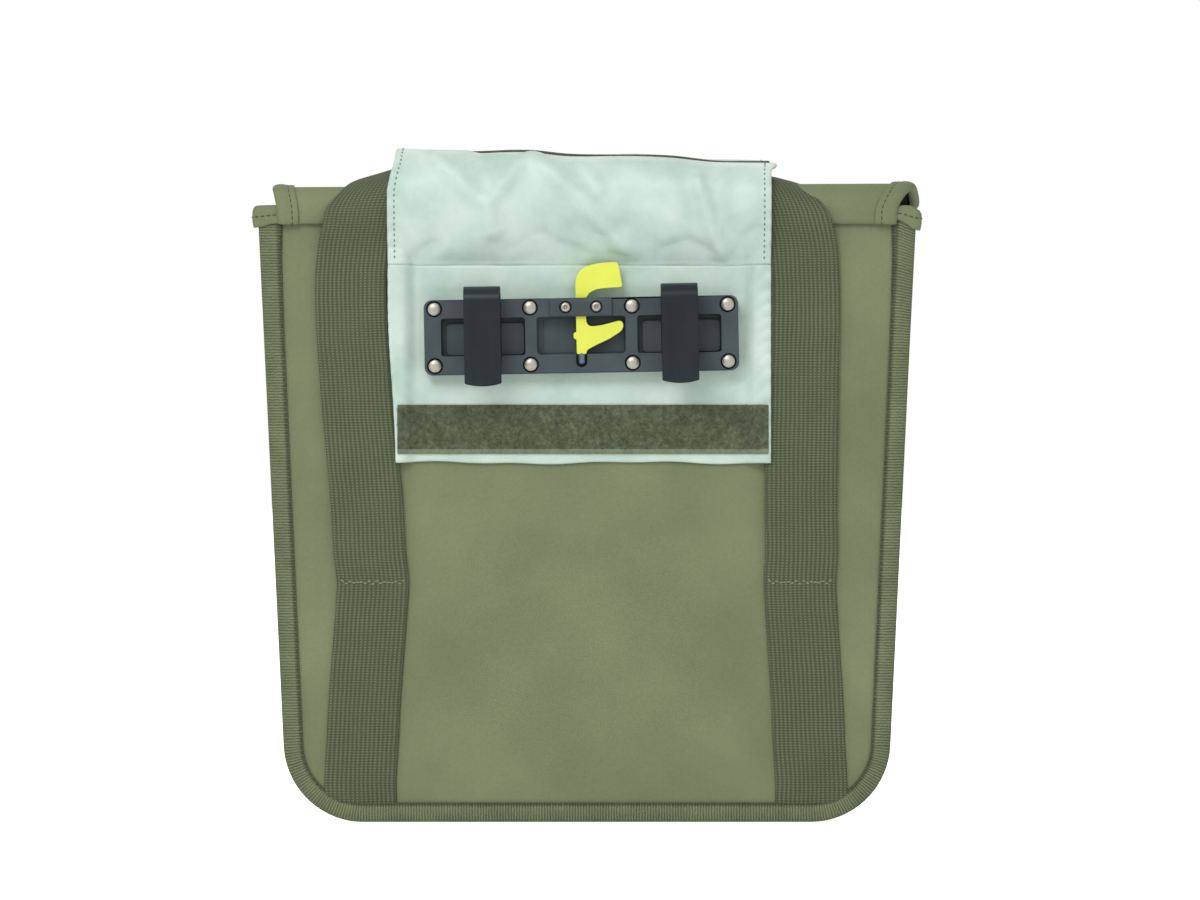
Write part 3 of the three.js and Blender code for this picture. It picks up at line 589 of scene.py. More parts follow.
def sew(name, lines, material, pitch=stitch_pitch, length=stitch_length, radius=stitch_radius):
    """Rows of stitches along lines of points, as one piece."""
    points = np.vstack(lines)
    edges = []
    start = 0
    for line in lines:
        edges += [(start + index, start + index + 1) for index in range(len(line) - 1)]
        start += len(line)
    mesh = mesh_from(name, points.tolist(), edges)
    made = grow(name, mesh, stitches, Pitch=pitch, Length=length, Radius=radius, Thread=material)
    soften(made)
    return fit(name, made, None)


tape = binding_tape()
olive_thread = thread("olive_sewing_thread", "#3c422e")
back_tape = round_edge(lambda swell: tape_profile(-gap, back_seam + gap, -1, swell))
front_tape = round_edge(lambda swell: tape_profile(bag_depth + gap, front_seam - gap, 1, swell))
for name, grid in [("back", back_tape[:, ::-1]), ("front", front_tape)]:
    strip = wall(f"{name}_tape", grid, tape_wall, straight=True)
    fit(f"{name}_tape", strip, tape, [f"{name}_binding"])
sew(
    "binding_stitches",
    [
        round_edge(lambda swell: [(stitch_inset + tape_spread * swell**2, out)])[:, 0]
        for out in (-gap - 0.8 * mm, bag_depth + gap + 0.8 * mm)
    ],
    olive_thread,
    length=2.1 * mm,
    radius=0.4 * mm,
)


# Mouth band.
# One folded band of the cloth runs round the mouth's raw edge. It covers the upper ends of both
# bindings, and shows as a short tab at each top corner of the back panel.
band_height = 10 * mm
band_wall = 1 * mm
cloth_stitch_radius = 0.35 * mm
# Columns: the band's outer line and its inner line in plan, each as a distance in from the
# mouth's half width and a distance from the back face, in mm
band_rows = [
    (13.2, -2.3, 13.4, 4.6),
    (7.0, -2.5, 13.2, 5.2),
    (1.6, -2.3, 13.0, 6.0),
    (-1.0, -0.8, 12.8, 6.8),
    (-1.6, 2.0, 12.6, 7.6),
    (-1.2, 5.6, 12.4, 8.4),
    (2.2, 8.4, 12.1, 9.4),
    (5.6, 11.5, 11.2, 12.5),
    (4.3, 19.6, 8.9, 19.6),
    (-0.2, 41.0, 4.4, 41.0),
    (-1.8, 65.0, 2.8, 65.0),
]
# Columns: share of the way from the outer line to the inner line, height over the mouth in mm
band_section = [(-0.02, -10), (-0.07, -7), (-0.07, -2.5), (-0.01, 0.4), (0.16, 1.1), (0.5, 1.3), (0.84, 1.1),
                (1.01, 0.4), (1.03, -2.5), (1.02, -10)]


def band_drop(x, y):
    """How far the band hangs down: its two tabs on the back panel taper towards the middle."""
    at_back = step_between(back_face + 9 * mm, back_face + 3 * mm, y)
    left = 8.6 * mm + 2.4 * mm * step_between(-178 * mm, -190 * mm, x)
    right = 6.6 * mm + 6 * mm * step_between(178 * mm, 190 * mm, x)
    return band_height + (np.where(x < 0, left, right) - band_height) * at_back


def mouth_band_grid():
    half = np.array(band_rows)
    across_depth = bag_depth / mm
    mirrored = half[-2::-1] * (1, -1, 1, -1) + (0, across_depth, 0, across_depth)
    side = smooth(np.vstack([half, mirrored]), 4) * mm
    right = side * (-1, 1, -1, 1) + (mouth_half, back_face, mouth_half, back_face)
    front = [(x, right[-1, 1], x, right[-1, 3]) for x in np.linspace(right[-1, 0], -right[-1, 0], 60)[1:-1]]
    left = right[::-1] * (-1, 1, -1, 1)
    plan = np.vstack([right, front, left])
    section = smooth(band_section, 2)
    grid = []
    for out_x, out_y, in_x, in_y in plan:
        drop = float(band_drop(out_x, out_y)) / band_height
        fall = 2.2 * mm * float(step_between(186 * mm, 191.5 * mm, out_x))
        grid.append([
            (
                out_x + (in_x - out_x) * share,
                out_y + (in_y - out_y) * share,
                mouth_height + up * mm * (drop if up < 0 else 1) - fall * float(up > -2),
            )
            for share, up in section
        ])
    return np.array(grid)


band_grid = mouth_band_grid()
fit(
    "mouth_band",
    wall("mouth_band", band_grid, band_wall, straight=True),
    olive,
    ["mouth_band_left", "mouth_band_front", "mouth_band_right"],
)
band_line = band_grid[:, 3] - looks(band_grid)[:, 3] * band_wall * 0.6
sew("mouth_stitches", [band_line], olive_thread, radius=cloth_stitch_radius)

# Lid.
# One sheet of the canvas with a dark coating inside. It is sewn across the back panel just below
# the mouth, rolls up and over, and hangs down in front. Its ends flare past the mouth.
lid_wall = 2 * mm
lid_tilt = 1.2 * mm
lid_flare = 6 * mm
lid_sag = 5 * mm
lid_end_fall = 1.2 * mm
lid_wave = 0.9 * mm
lid_ripple = 1.2 * mm
# Columns: distance from the back face, height over the mouth, half width and sideways drift, in mm
lid_rows = [
    (-1.0, -8.6, 176.2, 0.0),
    (-1.9, -4.4, 176.2, 0.0),
    (-2.6, -0.4, 176.4, 0.0),
    (-1.9, 4.2, 178.2, 0.8),
    (1.3, 8.7, 180.6, 2.0),
    (6.9, 11.2, 182.6, 3.2),
    (16.0, 11.7, 184.0, 4.0),
    (64.7, 10.6, 184.7, 4.0),
    (115.4, 8.6, 185.1, 4.0),
    (127.7, 7.6, 185.1, 4.0),
    (132.9, 3.0, 185.1, 4.0),
    (132.9, -9.0, 185.1, 4.0),
    (132.9, -52.5, 185.1, 4.0),
    (132.9, -150.0, 185.1, 4.0),
]


def lengths_along(line):
    """How far along a line each of its points lies."""
    return np.concatenate([[0], np.cumsum(np.linalg.norm(np.diff(line, axis=0), axis=1))])


def evenly(rows, pitch, columns):
    """A soft curve through rows, at an even pitch along the lengths of its first columns."""
    fine = smooth(rows, 10)
    lengths = lengths_along(fine[:, :columns])
    count = int(round(lengths[-1] / pitch)) + 1
    places = np.linspace(0, lengths[-1], count)
    return np.column_stack([np.interp(places, lengths, column) for column in fine.T]), places


lid_line, lid_lengths = evenly(np.array(lid_rows) * mm, 3 * mm, 2)
lid_length = lid_lengths[-1]
lid_ways = np.gradient(lid_line[:, :2], axis=0)
lid_ways /= np.linalg.norm(lid_ways, axis=1, keepdims=True)


def on_lid(across, along, above):
    """A point of the lid: across it, along it, and above its middle."""
    values = [np.interp(along, lid_lengths, column) for column in (*lid_line.T, *lid_ways.T)]
    y, z, _, drift, way_y, way_z = values
    lifted = above + lid_wall / 2
    tilt = lid_tilt * drift / (4 * mm) * across / mouth_half
    flare = lid_flare * step_between(0.02, 0.09, along) * step_between(0.165, 0.135, along)
    x = across + drift + flare * np.maximum(across / mouth_half, 0) ** 6
    end_fall = lid_end_fall * step_between(172 * mm, 190 * mm, across)
    sag = lid_wave * np.sin(across / (61 * mm) + 1) * step_between(0.02, 0.06, along)
    ripple = lid_ripple * (1 + np.sin(across / (34 * mm))) * step_between(0.17, 0.3, along)
    y = back_face + y - way_z * lifted + ripple
    slump = step_between(130 * mm, 188 * mm, across) * step_between(0.04, 0.09, along)
    z = mouth_height + z + way_y * lifted + tilt - np.abs(sag) - end_fall
    z -= lid_sag * slump * step_between(0.165, 0.13, along)
    return np.stack(np.broadcast_arrays(x, y, z), axis=-1)


def lid_half(along):
    return np.interp(along, lid_lengths, lid_line[:, 2])


def dark_lining():
    """A dark rubbery coating on the cloth's inner side: nearly matt, and faintly mottled."""
    made, tree, shader = blank("dark_coated_lining", 0.9, Specular_IOR_Level=0.0)
    place = add(tree, "ShaderNodeUVMap", uv_map="cloth").outputs["UV"]
    patches = add(tree, "ShaderNodeTexNoise", {"Vector": place, "Scale": 60, "Detail": 5})
    surface(tree, shader, patches, [(0.3, "#343532"), (0.75, "#4c4c48")], patches, 0.4, 0.3 * mm)
    return made


lining = dark_lining()
lid_shares = np.linspace(-1, 1, 95)
lid_grid = np.array([on_lid(lid_shares * lid_half(along), along, 0) for along in lid_lengths])
lid_piece = fit(
    "lid_cloth", wall("lid_cloth", lid_grid, lid_wall, lined=True), olive, ["lid"], inner=lining
)

# Lid binding.
# The lid's two ends and its free edge are bound with a folded band of the same cloth, sewn
# through once, with a sharp crease where the band was pressed.
lid_tape_wall = 1 * mm
lid_tape_face = 10.5 * mm
lid_tape_stitch = 7 * mm
# Columns: distance in from the lid's edge, height above the lid's middle, in mm
lid_tape_section = [
    (10.5, 1.7), (8.6, 1.9), (7, 1.75), (4.5, 2.4), (1.2, 2.3), (-0.9, 1.3), (-1.3, 0), (-0.9, -1.3),
    (0.6, -2.1), (2.0, -2.2), (3.4, -1.7),
]


def lid_edge(section):
    """Carries a section along one end of the lid, its free edge, and back along the other end."""
    insets, above = np.array(section).T * mm
    ends = [(along, lid_half(along) - insets) for along in np.arange(0, lid_length - lid_tape_face, 3.2 * mm)]
    half = lid_half(lid_length) - lid_tape_face
    corner = (lid_length, lid_half(lid_length) - insets)
    free = [(lid_length, np.full(len(insets), across)) for across in np.linspace(half, -half, 70)]
    back = [(along, -across) for along, across in [*ends, corner]][::-1]
    rows = []
    for along, across in [*ends, corner, *free, *back]:
        inwards = np.maximum(insets, 0) if along == lid_length else 0
        folded = np.where(above < 0, above * step_between(8 * mm, 24 * mm, along), above)
        row = on_lid(across, along - inwards, folded)
        if along == lid_length:
            row[:, 2] += np.minimum(insets, 0)
        rows.append(row)
    return np.array(rows)


lid_tape_grid = lid_edge(smooth(lid_tape_section, 2))
fit(
    "lid_edging",
    wall("lid_edging", lid_tape_grid, lid_tape_wall, straight=True),
    olive,
    ["lid_binding"],
)
lid_seam = lid_edge([(lid_tape_stitch / mm, 2.25)])[:, 0]
sew("lid_stitches", [lid_seam], olive_thread, radius=cloth_stitch_radius)

# Handle.
# One loop of ribbed polypropylene webbing, 40 mm wide, with a row every 1.55 mm. Each riser is sewn
# flat to the back panel up to a cross stitch, then rises free, rolls back over the lid and meets the
# other in the crown.
strap_width = 40 * mm
strap_wall = 2 * mm
strap_ribs = 16
strap_rows_pitch = 1.55 * mm
# Columns: distance from the middle, from the back face, height, share of the quarter turn that the
# webbing makes, and slope of its inner edge. In mm and shares
left_riser = [
    (129.8, -0.3, 11, 0, 0), (130.2, -0.9, 24, 0, 0), (129.0, -1.3, 45, 0, 0), (127.7, -1.3, 70.6, 0, 0),
    (125.2, -1.3, 104, 0, 0), (123.1, -1.5, 133, 0, 0), (123.2, -2.0, 141, 0, 0), (125.0, -2.6, 157, 0, 0),
    (126.7, -3.1, 187, 0, 0), (132.2, -3.1, 247, 0, 0), (135.4, -3.1, 300, 0, 0), (133.9, -3.9, 328, 0, 0),
    (130.7, -7.7, 345, 0, 0), (128.4, -8.2, 354, 0.05, -0.04), (124.1, -7.0, 362, 0.14, -0.12),
    (118.0, -0.2, 369.5, 0.25, -0.12), (110.0, 9.9, 374.1, 0.55, -0.05), (97.9, 18.9, 378.4, 0.72, 0),
    (79.9, 26.1, 380.9, 0.87, 0), (54.9, 29.5, 381.5, 0.98, 0), (24.6, 30.0, 379.8, 1, 0),
]
right_riser = [
    (128.6, -0.3, 11, 0, 0), (128.8, -0.9, 24, 0, 0), (127.6, -1.3, 45, 0, 0), (126.5, -1.3, 70.6, 0, 0),
    (124.3, -1.3, 104, 0, 0), (122.5, -1.5, 133, 0, 0), (122.4, -2.0, 141, 0, 0), (123.1, -2.6, 157, 0, 0),
    (122.8, -3.1, 187, 0, 0), (123.6, -3.1, 247, 0, 0), (124.4, -3.1, 300, 0, 0), (123.2, -3.9, 328, 0, 0),
    (119.6, -7.7, 345, 0, 0), (117.2, -8.2, 353, 0.04, -0.06), (113.4, -7.0, 360.5, 0.12, -0.16),
    (108.6, -0.2, 367.3, 0.24, -0.14), (102.0, 9.9, 370.7, 0.5, -0.05), (93.0, 18.9, 373.5, 0.7, 0),
    (76.9, 26.1, 375.2, 0.87, 0), (52.1, 29.5, 377.8, 0.98, 0), (24.6, 30.0, 378.4, 1, 0),
]


def strap_grid():
    left = np.array([(-x, y, z, -1, swing, lean) for x, y, z, swing, lean in left_riser])
    right = np.array([(x, y, z, 1, swing, lean) for x, y, z, swing, lean in right_riser[::-1]])
    line, _ = evenly(np.vstack([left, right]) * (mm, mm, mm, 1, 1, 1), 2.6 * mm, 3)
    across = np.linspace(-1, 1, 17) * strap_width / 2
    grid = []
    for index, (x, y, z, side, swing, lean) in enumerate(line):
        turn = swing * math.pi / 2
        inward = np.array([-side * math.cos(turn), -math.sin(turn), -lean])
        inward /= np.linalg.norm(inward)
        before, after = line[max(index - 1, 0), :3], line[min(index + 1, len(line) - 1), :3]
        along = (after - before) / np.linalg.norm(after - before)
        face = np.cross(inward, along)
        face /= np.linalg.norm(face)
        cup = 0.35 * mm * np.cos(np.pi * across / strap_width)
        middle = np.array([x, back_face + y, z])
        grid.append(middle + np.outer(across, inward) + np.outer(cup - 0.2 * mm, face))
    return np.array(grid)


def ribbed_webbing():
    """Polypropylene webbing: raised cords side by side, each broken into short light beads where the
    weft dives under."""
    made, tree, shader = blank("ribbed_webbing", 0.75, Specular_IOR_Level=0.25)
    place = add(tree, "ShaderNodeUVMap", uv_map="cloth").outputs["UV"]
    shift = add(tree, "ShaderNodeTexNoise", {"Vector": place, "Scale": 35, "Detail": 2})
    bend = add(
        tree, "ShaderNodeVectorMath", {0: shift.outputs["Color"], "Scale": 1.6 * mm}, operation="SCALE"
    )
    bent = add(tree, "ShaderNodeVectorMath", {0: place, 1: bend}, operation="ADD").outputs[0]
    cords = add(
        tree,
        "ShaderNodeTexWave",
        {"Vector": bent, "Scale": wave_scale(strap_width / strap_ribs)},
        bands_direction="X",
    )
    beads = add(
        tree,
        "ShaderNodeTexWave",
        {"Vector": bent, "Scale": wave_scale(strap_rows_pitch), "Distortion": 0.6, "Detail Scale": 4},
        bands_direction="Y",
    )
    zones = add(tree, "ShaderNodeTexNoise", {"Vector": place, "Scale": 28, "Detail": 1})
    lean = add(tree, "ShaderNodeMapRange", {0: zones, 1: 0.35, 2: 0.65, 3: 0.2, 4: 0.8})
    lines = add(tree, "ShaderNodeMix", {0: lean, 2: cords.outputs["Fac"], 3: beads.outputs["Fac"]})
    crossed = add(
        tree, "ShaderNodeMath", {0: cords.outputs["Fac"], 1: beads.outputs["Fac"]}, operation="MULTIPLY"
    )
    faint = add(tree, "ShaderNodeMath", {0: lines, 1: 0.3}, operation="MULTIPLY")
    knots = add(tree, "ShaderNodeMath", {0: crossed, 1: 0.6, 2: faint}, operation="MULTIPLY_ADD")
    fibres = add(tree, "ShaderNodeTexNoise", {"Vector": place, "Scale": 800, "Detail": 3})
    worn = add(tree, "ShaderNodeTexNoise", {"Vector": place, "Scale": 45, "Detail": 3})
    fuzzy = add(tree, "ShaderNodeMath", {0: fibres, 1: 0.3, 2: knots}, operation="MULTIPLY_ADD")
    tone = add(tree, "ShaderNodeMath", {0: worn, 1: 0.25, 2: fuzzy}, operation="MULTIPLY_ADD")
    surface(
        tree, shader, tone, [(0.2, "#454c36"), (1.0, "#6f765b"), (0.6, "#515940")], fuzzy, 0.8, 0.35 * mm
    )
    return made


webbing = ribbed_webbing()
handle_grid = strap_grid()
handle_mesh = wall("webbing_handle", handle_grid, strap_wall, straight=True)
fit("webbing_handle", handle_mesh, webbing, ["handle"])
strap_seam_height = 138 * mm
strap_seam_zigzag = 0.9 * mm
strap_face = handle_grid + looks(handle_grid) * (strap_wall / 2 + 0.1 * mm)


def across_strap(height, sign):
    """A line across one riser's face at a height."""
    side = [row for row in strap_face if row[8, 0] * sign > 0]
    return min(side, key=lambda row: abs(row[8, 2] - height))[1:-1]


webbing_thread = thread("light_webbing_thread", "#7d8467")
cross_rows = [across_strap(strap_seam_height, sign) for sign in (-1, 1)]
for row in cross_rows:
    row[::2, 2] += strap_seam_zigzag
    row[1::2, 2] -= strap_seam_zigzag
sew(
    "handle_stitches",
    cross_rows,
    webbing_thread,
    pitch=2.6 * mm,
    length=2.2 * mm,
    radius=0.55 * mm,
)


# Mounting panel.
# Thin mint nylon, coated and soft, sewn to the back panel over the rail's backing. Its side seams
# are gathered, and its lower edge waves a little.
mint_wall = 1.5 * mm
mint_middle = -4.35 * mm
mint_half = 109.5 * mm
mint_taper = 4.4 * mm
mint_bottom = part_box("mount_panel")[0].z
hinge_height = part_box("cover_flap")[0].z
gather_pitch = 9 * mm
gather_rise = 0.9 * mm
mint_wave = 0.5 * mm
strap_cover = 4.1 * mm
mint_weave = 0.9 * mm


def coated_nylon():
    """Mint nylon with a soft coating: a low silky gloss, a weave too fine to see (drawn at 0.9 mm),
    and soft random patches of painted light and shade, pale where lit and greener where shaded."""
    made, tree, shader = blank("coated_mint_nylon", 0.42)
    place = add(tree, "ShaderNodeUVMap", uv_map="cloth").outputs["UV"]
    patches = add(tree, "ShaderNodeTexNoise", {"Vector": place, "Scale": 22, "Detail": 5, "Roughness": 0.6})
    threads = {"Vector": place, "Scale": wave_scale(mint_weave)}
    warp, weft = [
        add(tree, "ShaderNodeTexWave", threads, bands_direction=way).outputs["Fac"] for way in "XY"
    ]
    weave = add(tree, "ShaderNodeMath", {0: warp, 1: weft}, operation="MULTIPLY")
    creased = add(tree, "ShaderNodeMath", {0: patches, 1: 14, 2: weave}, operation="MULTIPLY_ADD")
    # Painted light and shade: the patches take pale lit tones and greener shaded tones of the nylon.
    surface(
        tree,
        shader,
        patches,
        [(0.3, "#a9c4b7"), (0.72, "#d2e1d6"), (0.5, "#c0d4c8")],
        creased,
        0.5,
        0.06 * mm,
    )
    return made


mint = coated_nylon()
mint_thread = thread("mint_sewing_thread", "#6c8f80")


def over_strap(x, z):
    """How far the nylon stands out where its sides lie over the handle."""
    beside = step_between(94 * mm, 102 * mm, np.abs(x - mint_middle))
    return strap_cover * beside * (1 + 0.25 * step_between(290 * mm, 320 * mm, z))


def mint_rise(x, z):
    """How far the gathered nylon stands out at each place. It lies flat under the rail."""
    from_edge = mint_half - np.abs(x - mint_middle)
    wobble = 3 * np.sin(z / (15 * mm)) + np.sin(x / (40 * mm))
    slant = (z + 0.8 * from_edge) / gather_pitch * 2 * math.pi
    gathers = np.exp(-np.maximum(from_edge, 0) / (7 * mm)) * (1 + np.sin(slant + wobble))
    waves = 1 + wander(np.stack([x, 0 * x, 0.7 * z], axis=-1), 26 * mm, 2.2)
    pressed = step_between(100 * mm, 90 * mm, np.abs(x - mint_middle))
    pressed = pressed * step_between(30 * mm, 24 * mm, np.abs(z - rail_height))
    return (gather_rise * gathers + mint_wave * waves) * (1 - pressed) + over_strap(x, z)


rail_height = 279.6 * mm
mount_shares = np.sign(np.linspace(-1, 1, 111)) * np.abs(np.linspace(-1, 1, 111)) ** 0.8
mount_heights = np.linspace(mint_bottom, hinge_height - 0.6 * mm, 72)
mount_x, mount_z = np.meshgrid(mint_middle + mint_half * mount_shares, mount_heights)
mount_x += mint_taper * step_between(300 * mm, mint_bottom, mount_z) * np.maximum(-mount_shares, 0) ** 2
hem_wave = np.sin(mount_x / (19 * mm)) + 0.6 * np.sin(mount_x / (7.3 * mm) + 1)
mount_z = mount_z + 0.6 * mm * hem_wave * step_between(mint_bottom + 10 * mm, mint_bottom, mount_z)
mount_y = back_face - gap - mint_wall / 2 - mint_rise(mount_x, mount_z)
mount_points = np.stack([mount_x, mount_y, mount_z], axis=-1)
mount_piece = fit(
    "mounting_panel", wall("mounting_panel", mount_points, mint_wall), mint, ["mount_panel"]
)

# Loop tape.
# The soft half of a hook-and-loop fastening: a knitted ground with a plain edge below, covered
# with thousands of tiny brushed loops. The loops are drawn larger than the real 0.3 mm.
loop_low, loop_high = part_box("loop_tape")
loop_edge = 2.4 * mm
loop_lift = 1.1 * mm
loop_columns = 120
loop_rows = 16
loops_each_metre = 700000.0


def brushed_pile(name, dark, mid, light):
    """Brushed nylon loops: a matt tangle of tufts, with painted light on their tips and painted shade in the
    gaps between them.
    """
    made, tree, shader = blank(name, 0.95, Sheen_Weight=0.25, Sheen_Roughness=0.6)
    place = add(tree, "ShaderNodeTexCoord").outputs["Object"]
    tufts = add(tree, "ShaderNodeTexNoise", {"Vector": place, "Scale": 330, "Detail": 4, "Roughness": 0.7})
    patches = add(tree, "ShaderNodeTexNoise", {"Vector": place, "Scale": 70, "Detail": 3})
    # Painted light and shade: the tone follows the tufts' height, light on the tips and dark in the gaps.
    tone = add(tree, "ShaderNodeMath", {0: patches, 1: 0.4, 2: tufts}, operation="MULTIPLY_ADD")
    surface(tree, shader, tone, [(0.45, dark), (0.95, light), (0.7, mid)], tufts, 1, 0.8 * mm)
    return made


def pile_tree():
    """Scatters small bent loops over a surface, each turned its own way."""
    tree, start = begin_tree("pile", Density=loops_each_metre, Loop=0.8 * mm, Fibre=0.1 * mm, Pile="Material")
    spots = add(
        tree,
        "GeometryNodeDistributePointsOnFaces",
        {"Mesh": start["Geometry"], "Density": start["Density"], "Seed": 7},
    )
    arch = add(tree, "GeometryNodeCurveArc", {"Resolution": 5, "Radius": start["Loop"], "Sweep Angle": 3.8})
    strand = add(tree, "GeometryNodeCurvePrimitiveCircle", {"Resolution": 3, "Radius": start["Fibre"]})
    loop = add(tree, "GeometryNodeCurveToMesh", {"Curve": arch, "Profile Curve": strand})
    stood = add(tree, "GeometryNodeTransform", {"Geometry": loop, "Rotation": (math.pi / 2, 0, 0)})
    twist = add(
        tree,
        "FunctionNodeRandomValue",
        {0: (-0.9, -0.9, 0.0), 1: (0.9, 0.9, 6.28), "Seed": 3},
        data_type="FLOAT_VECTOR",
    )
    turned = add(tree, "FunctionNodeRotateEuler", {0: spots.outputs["Rotation"], 1: twist})
    size = add(tree, "FunctionNodeRandomValue", {2: 0.6, 3: 1.25, "Seed": 5}, data_type="FLOAT")
    laid = add(
        tree,
        "GeometryNodeInstanceOnPoints",
        {
            "Points": spots.outputs["Points"],
            "Instance": stood,
            "Rotation": turned,
            "Scale": size.outputs[1],
        },
    )
    return end_tree(tree, laid, start["Pile"])


loop_shares = np.linspace(0, 1, loop_columns)
loop_x = np.repeat((loop_low.x + (loop_high.x - loop_low.x) * loop_shares)[None, :], loop_rows, axis=0)
loop_heights = [loop_low.z, *np.linspace(loop_low.z + loop_edge, loop_high.z, loop_rows - 1)]
loop_z = np.array(loop_heights)[:, None] + 0 * loop_x
loop_y = back_face - 2 * gap - mint_wall - 0.55 * mm - mint_rise(loop_x, loop_z)
loop_grid = np.stack([loop_x, loop_y, loop_z], axis=-1)
loop_pile = brushed_pile("brushed_loop_pile", "#373d2a", "#50583d", "#6c7558")
loop_ground = wall("loop_ground", loop_grid, loop_lift)
for face in loop_ground.polygons:
    face.material_index = int(face.center.z < loop_low.z + loop_edge)
loop_selvedge = brushed_pile("knitted_loop_ground", "#5e6a4f", "#6e7c61", "#7d8b70")
fit("loop_ground", loop_ground, loop_pile, ["loop_tape"], inner=loop_selvedge)
nap_points = (loop_grid + looks(loop_grid) * loop_lift / 2).reshape(-1, 3)
nap_faces = [
    (a, a + 1, a + loop_columns + 1, a + loop_columns)
    for r in range(1, loop_rows - 1)
    for a in range(r * loop_columns, (r + 1) * loop_columns - 1)
]
nap_mesh = mesh_from("loop_nap", nap_points.tolist(), faces=nap_faces)
fit("loop_nap", grow("loop_nap", nap_mesh, pile_tree(), Pile=loop_pile), None)


# Cover flap.
# The same nylon, hinged along the panel's top seam. It is turned up over the handle and back over
# the lid, so it shows its inner side, with old creases from being folded down over the rail.
flap_stand = 12.6 * mm
flap_reach = 46 * mm
flap_dip = 6.5 * mm
flap_crest = mouth_height + 31.1 * mm
flap_corner = 4.6 * mm
flap_crumple = 3 * mm
flap_wrinkle = 0.9 * mm
flap_gather = 0.6 * mm
flap_fold = 2.3 * mm
flap_lip = 2.8 * mm
flap_curl = 3.6 * mm
flap_grip_room = 0.5
# Columns: share of the stand-off, share of the reach back, share of the height
flap_rows = [
    (0.06, 0, 0), (0.14, 0, 0.05), (0.4, 0, 0.15), (0.88, 0, 0.4), (1, 0, 0.62), (0.92, 0, 0.76),
    (0.55, 0, 0.89), (0.12, 0.012, 0.955), (0, 0.07, 0.985), (0, 0.19, 1), (0, 0.31, 1),
    (0, 0.85, 1), (0, 1, 1),
]
# Columns: share of the half width, share of the crest's dip
flap_columns = [(-1, 0), (-0.6, 0.15), (-0.28, 0.02), (-0.02, 0.4), (0.44, 0.48), (0.72, 0.98), (1, 1)]
# Each crease: its points as distance across and height, its height and its width, all in mm
flap_creases = [
    ([(-88, 381), (-70, 364), (-57, 354), (-54.6, 341)], 3.6, 5),
    ([(-39.7, 385), (-70.7, 373)], 2.2, 3.5),
    ([(-34.5, 379.5), (-54.6, 357)], 2.4, 4),
    ([(-28.8, 378), (-4, 359), (11.5, 344), (25.3, 325.5)], 3.8, 5.5),
    ([(-4, 378), (7.5, 363)], 1.4, 3.5),
    ([(63.8, 366), (78.2, 322)], 3.2, 4),
    ([(-100.6, 324), (-86.3, 332)], -1.6, 4),
    ([(-45.4, 328), (-23.6, 336)], -1.6, 5),
    ([(-35, 325), (-20, 331), (-5, 326)], -3.0, 5),
    ([(46, 326), (58, 332), (69, 329)], -2.6, 5),
    ([(86, 323), (97, 338)], -2.6, 5),
]
flap_line = smooth(flap_rows, 8) * (-flap_stand, flap_reach, flap_crest - hinge_height)
flap_line = np.column_stack([flap_line[:, 0] + flap_line[:, 1], flap_line[:, 2]])
flap_places = lengths_along(flap_line)
flap_length = flap_places[-1]


def near_line(x, z, line):
    """How far each place is from a line of points."""
    best = np.full(x.shape, np.inf)
    for (ax, az), (bx, bz) in zip(line, line[1:]):
        way = np.array([bx - ax, bz - az])
        share = np.clip(((x - ax) * way[0] + (z - az) * way[1]) / (way @ way), 0, 1)
        best = np.minimum(best, np.hypot(x - ax - share * way[0], z - az - share * way[1]))
    return best


def flap_grid(along, shares, above):
    """Points of the flap: across its width at shares from -1 to 1, and above its inner face."""
    y = np.interp(along, flap_places, flap_line[:, 0])[:, None]
    up = np.interp(along, flap_places, flap_line[:, 1])[:, None] / (flap_crest - hinge_height)
    dip = np.interp(shares, *smooth(flap_columns, 6).T)[None, :]
    z = hinge_height + (flap_crest - flap_dip * dip - hinge_height) * up
    corner = flap_corner * step_between(0.62, 1, up) * step_between(-0.75, -1, shares)[None, :]
    x = mint_middle + mint_half * shares[None, :] + corner
    y = np.where(up < 0.3, np.minimum(y, -over_strap(x, z)), y)
    flatter = step_between(0.03, 0.12, up) * step_between(0.55, 0.3, up)
    y = y * (1 - flap_grip_room * flatter * np.exp(-(((x - 12 * mm) / (26 * mm)) ** 2)))
    grid = np.stack(np.broadcast_arrays(x, back_face + y, z), axis=-1).copy()
    facing = looks(grid)
    risen = np.zeros(grid.shape[:2])
    for line, height, width in flap_creases:
        away = near_line(grid[..., 0], grid[..., 2], np.array(line) * mm)
        risen += height * mm * np.exp(-((away / (width * mm)) ** 2))
    broad = 0.5 + 0.5 * wander(grid * (1, 0.4, 1.2), 42 * mm, 4.4)
    crumple = flap_crumple * broad + flap_wrinkle * wander(grid, 13 * mm, 9.1)
    from_edge = (1 - np.abs(shares))[None, :] * mint_half
    pucker = 1 + np.sin(grid[..., 2] / gather_pitch * 2 * math.pi)
    gathers = flap_gather * np.exp(-from_edge / (5 * mm)) * pucker
    hem = step_between(0, 14 * mm, along)[:, None]
    depth = grid[..., 1] - back_face
    front = step_between(8 * mm, -2 * mm, depth) * (1 - 0.75 * step_between(0.91, 0.985, up))
    risen = (risen + crumple + gathers) * hem * front
    left = step_between(-60 * mm, -70 * mm, grid[..., 0])
    wave = 0.45 * mm * (1 + np.sin(grid[..., 0] / (17 * mm)) * np.cos(grid[..., 0] / (29 * mm)))
    fold = step_between(-7 * mm, 0, depth) * step_between(13 * mm, 8 * mm, depth)
    fold = fold * step_between(0.85, 0.96, up)
    grid[..., 2] += fold * (flap_fold * left + wave * (1 - left))
    lip = step_between(flap_length - 7 * mm, flap_length - 2 * mm, along)[:, None]
    grid[..., 2] += lip * step_between(-30 * mm, 30 * mm, x) * (flap_lip + 2.4 * wave)
    curl = step_between(0.955, 1, shares)[None, :] * step_between(0.88, 0.97, up)
    curl = curl * step_between(16 * mm, 2 * mm, depth)
    grid[..., 0] += flap_curl * curl
    return grid + facing * (above + np.maximum(risen, 0))[..., None]


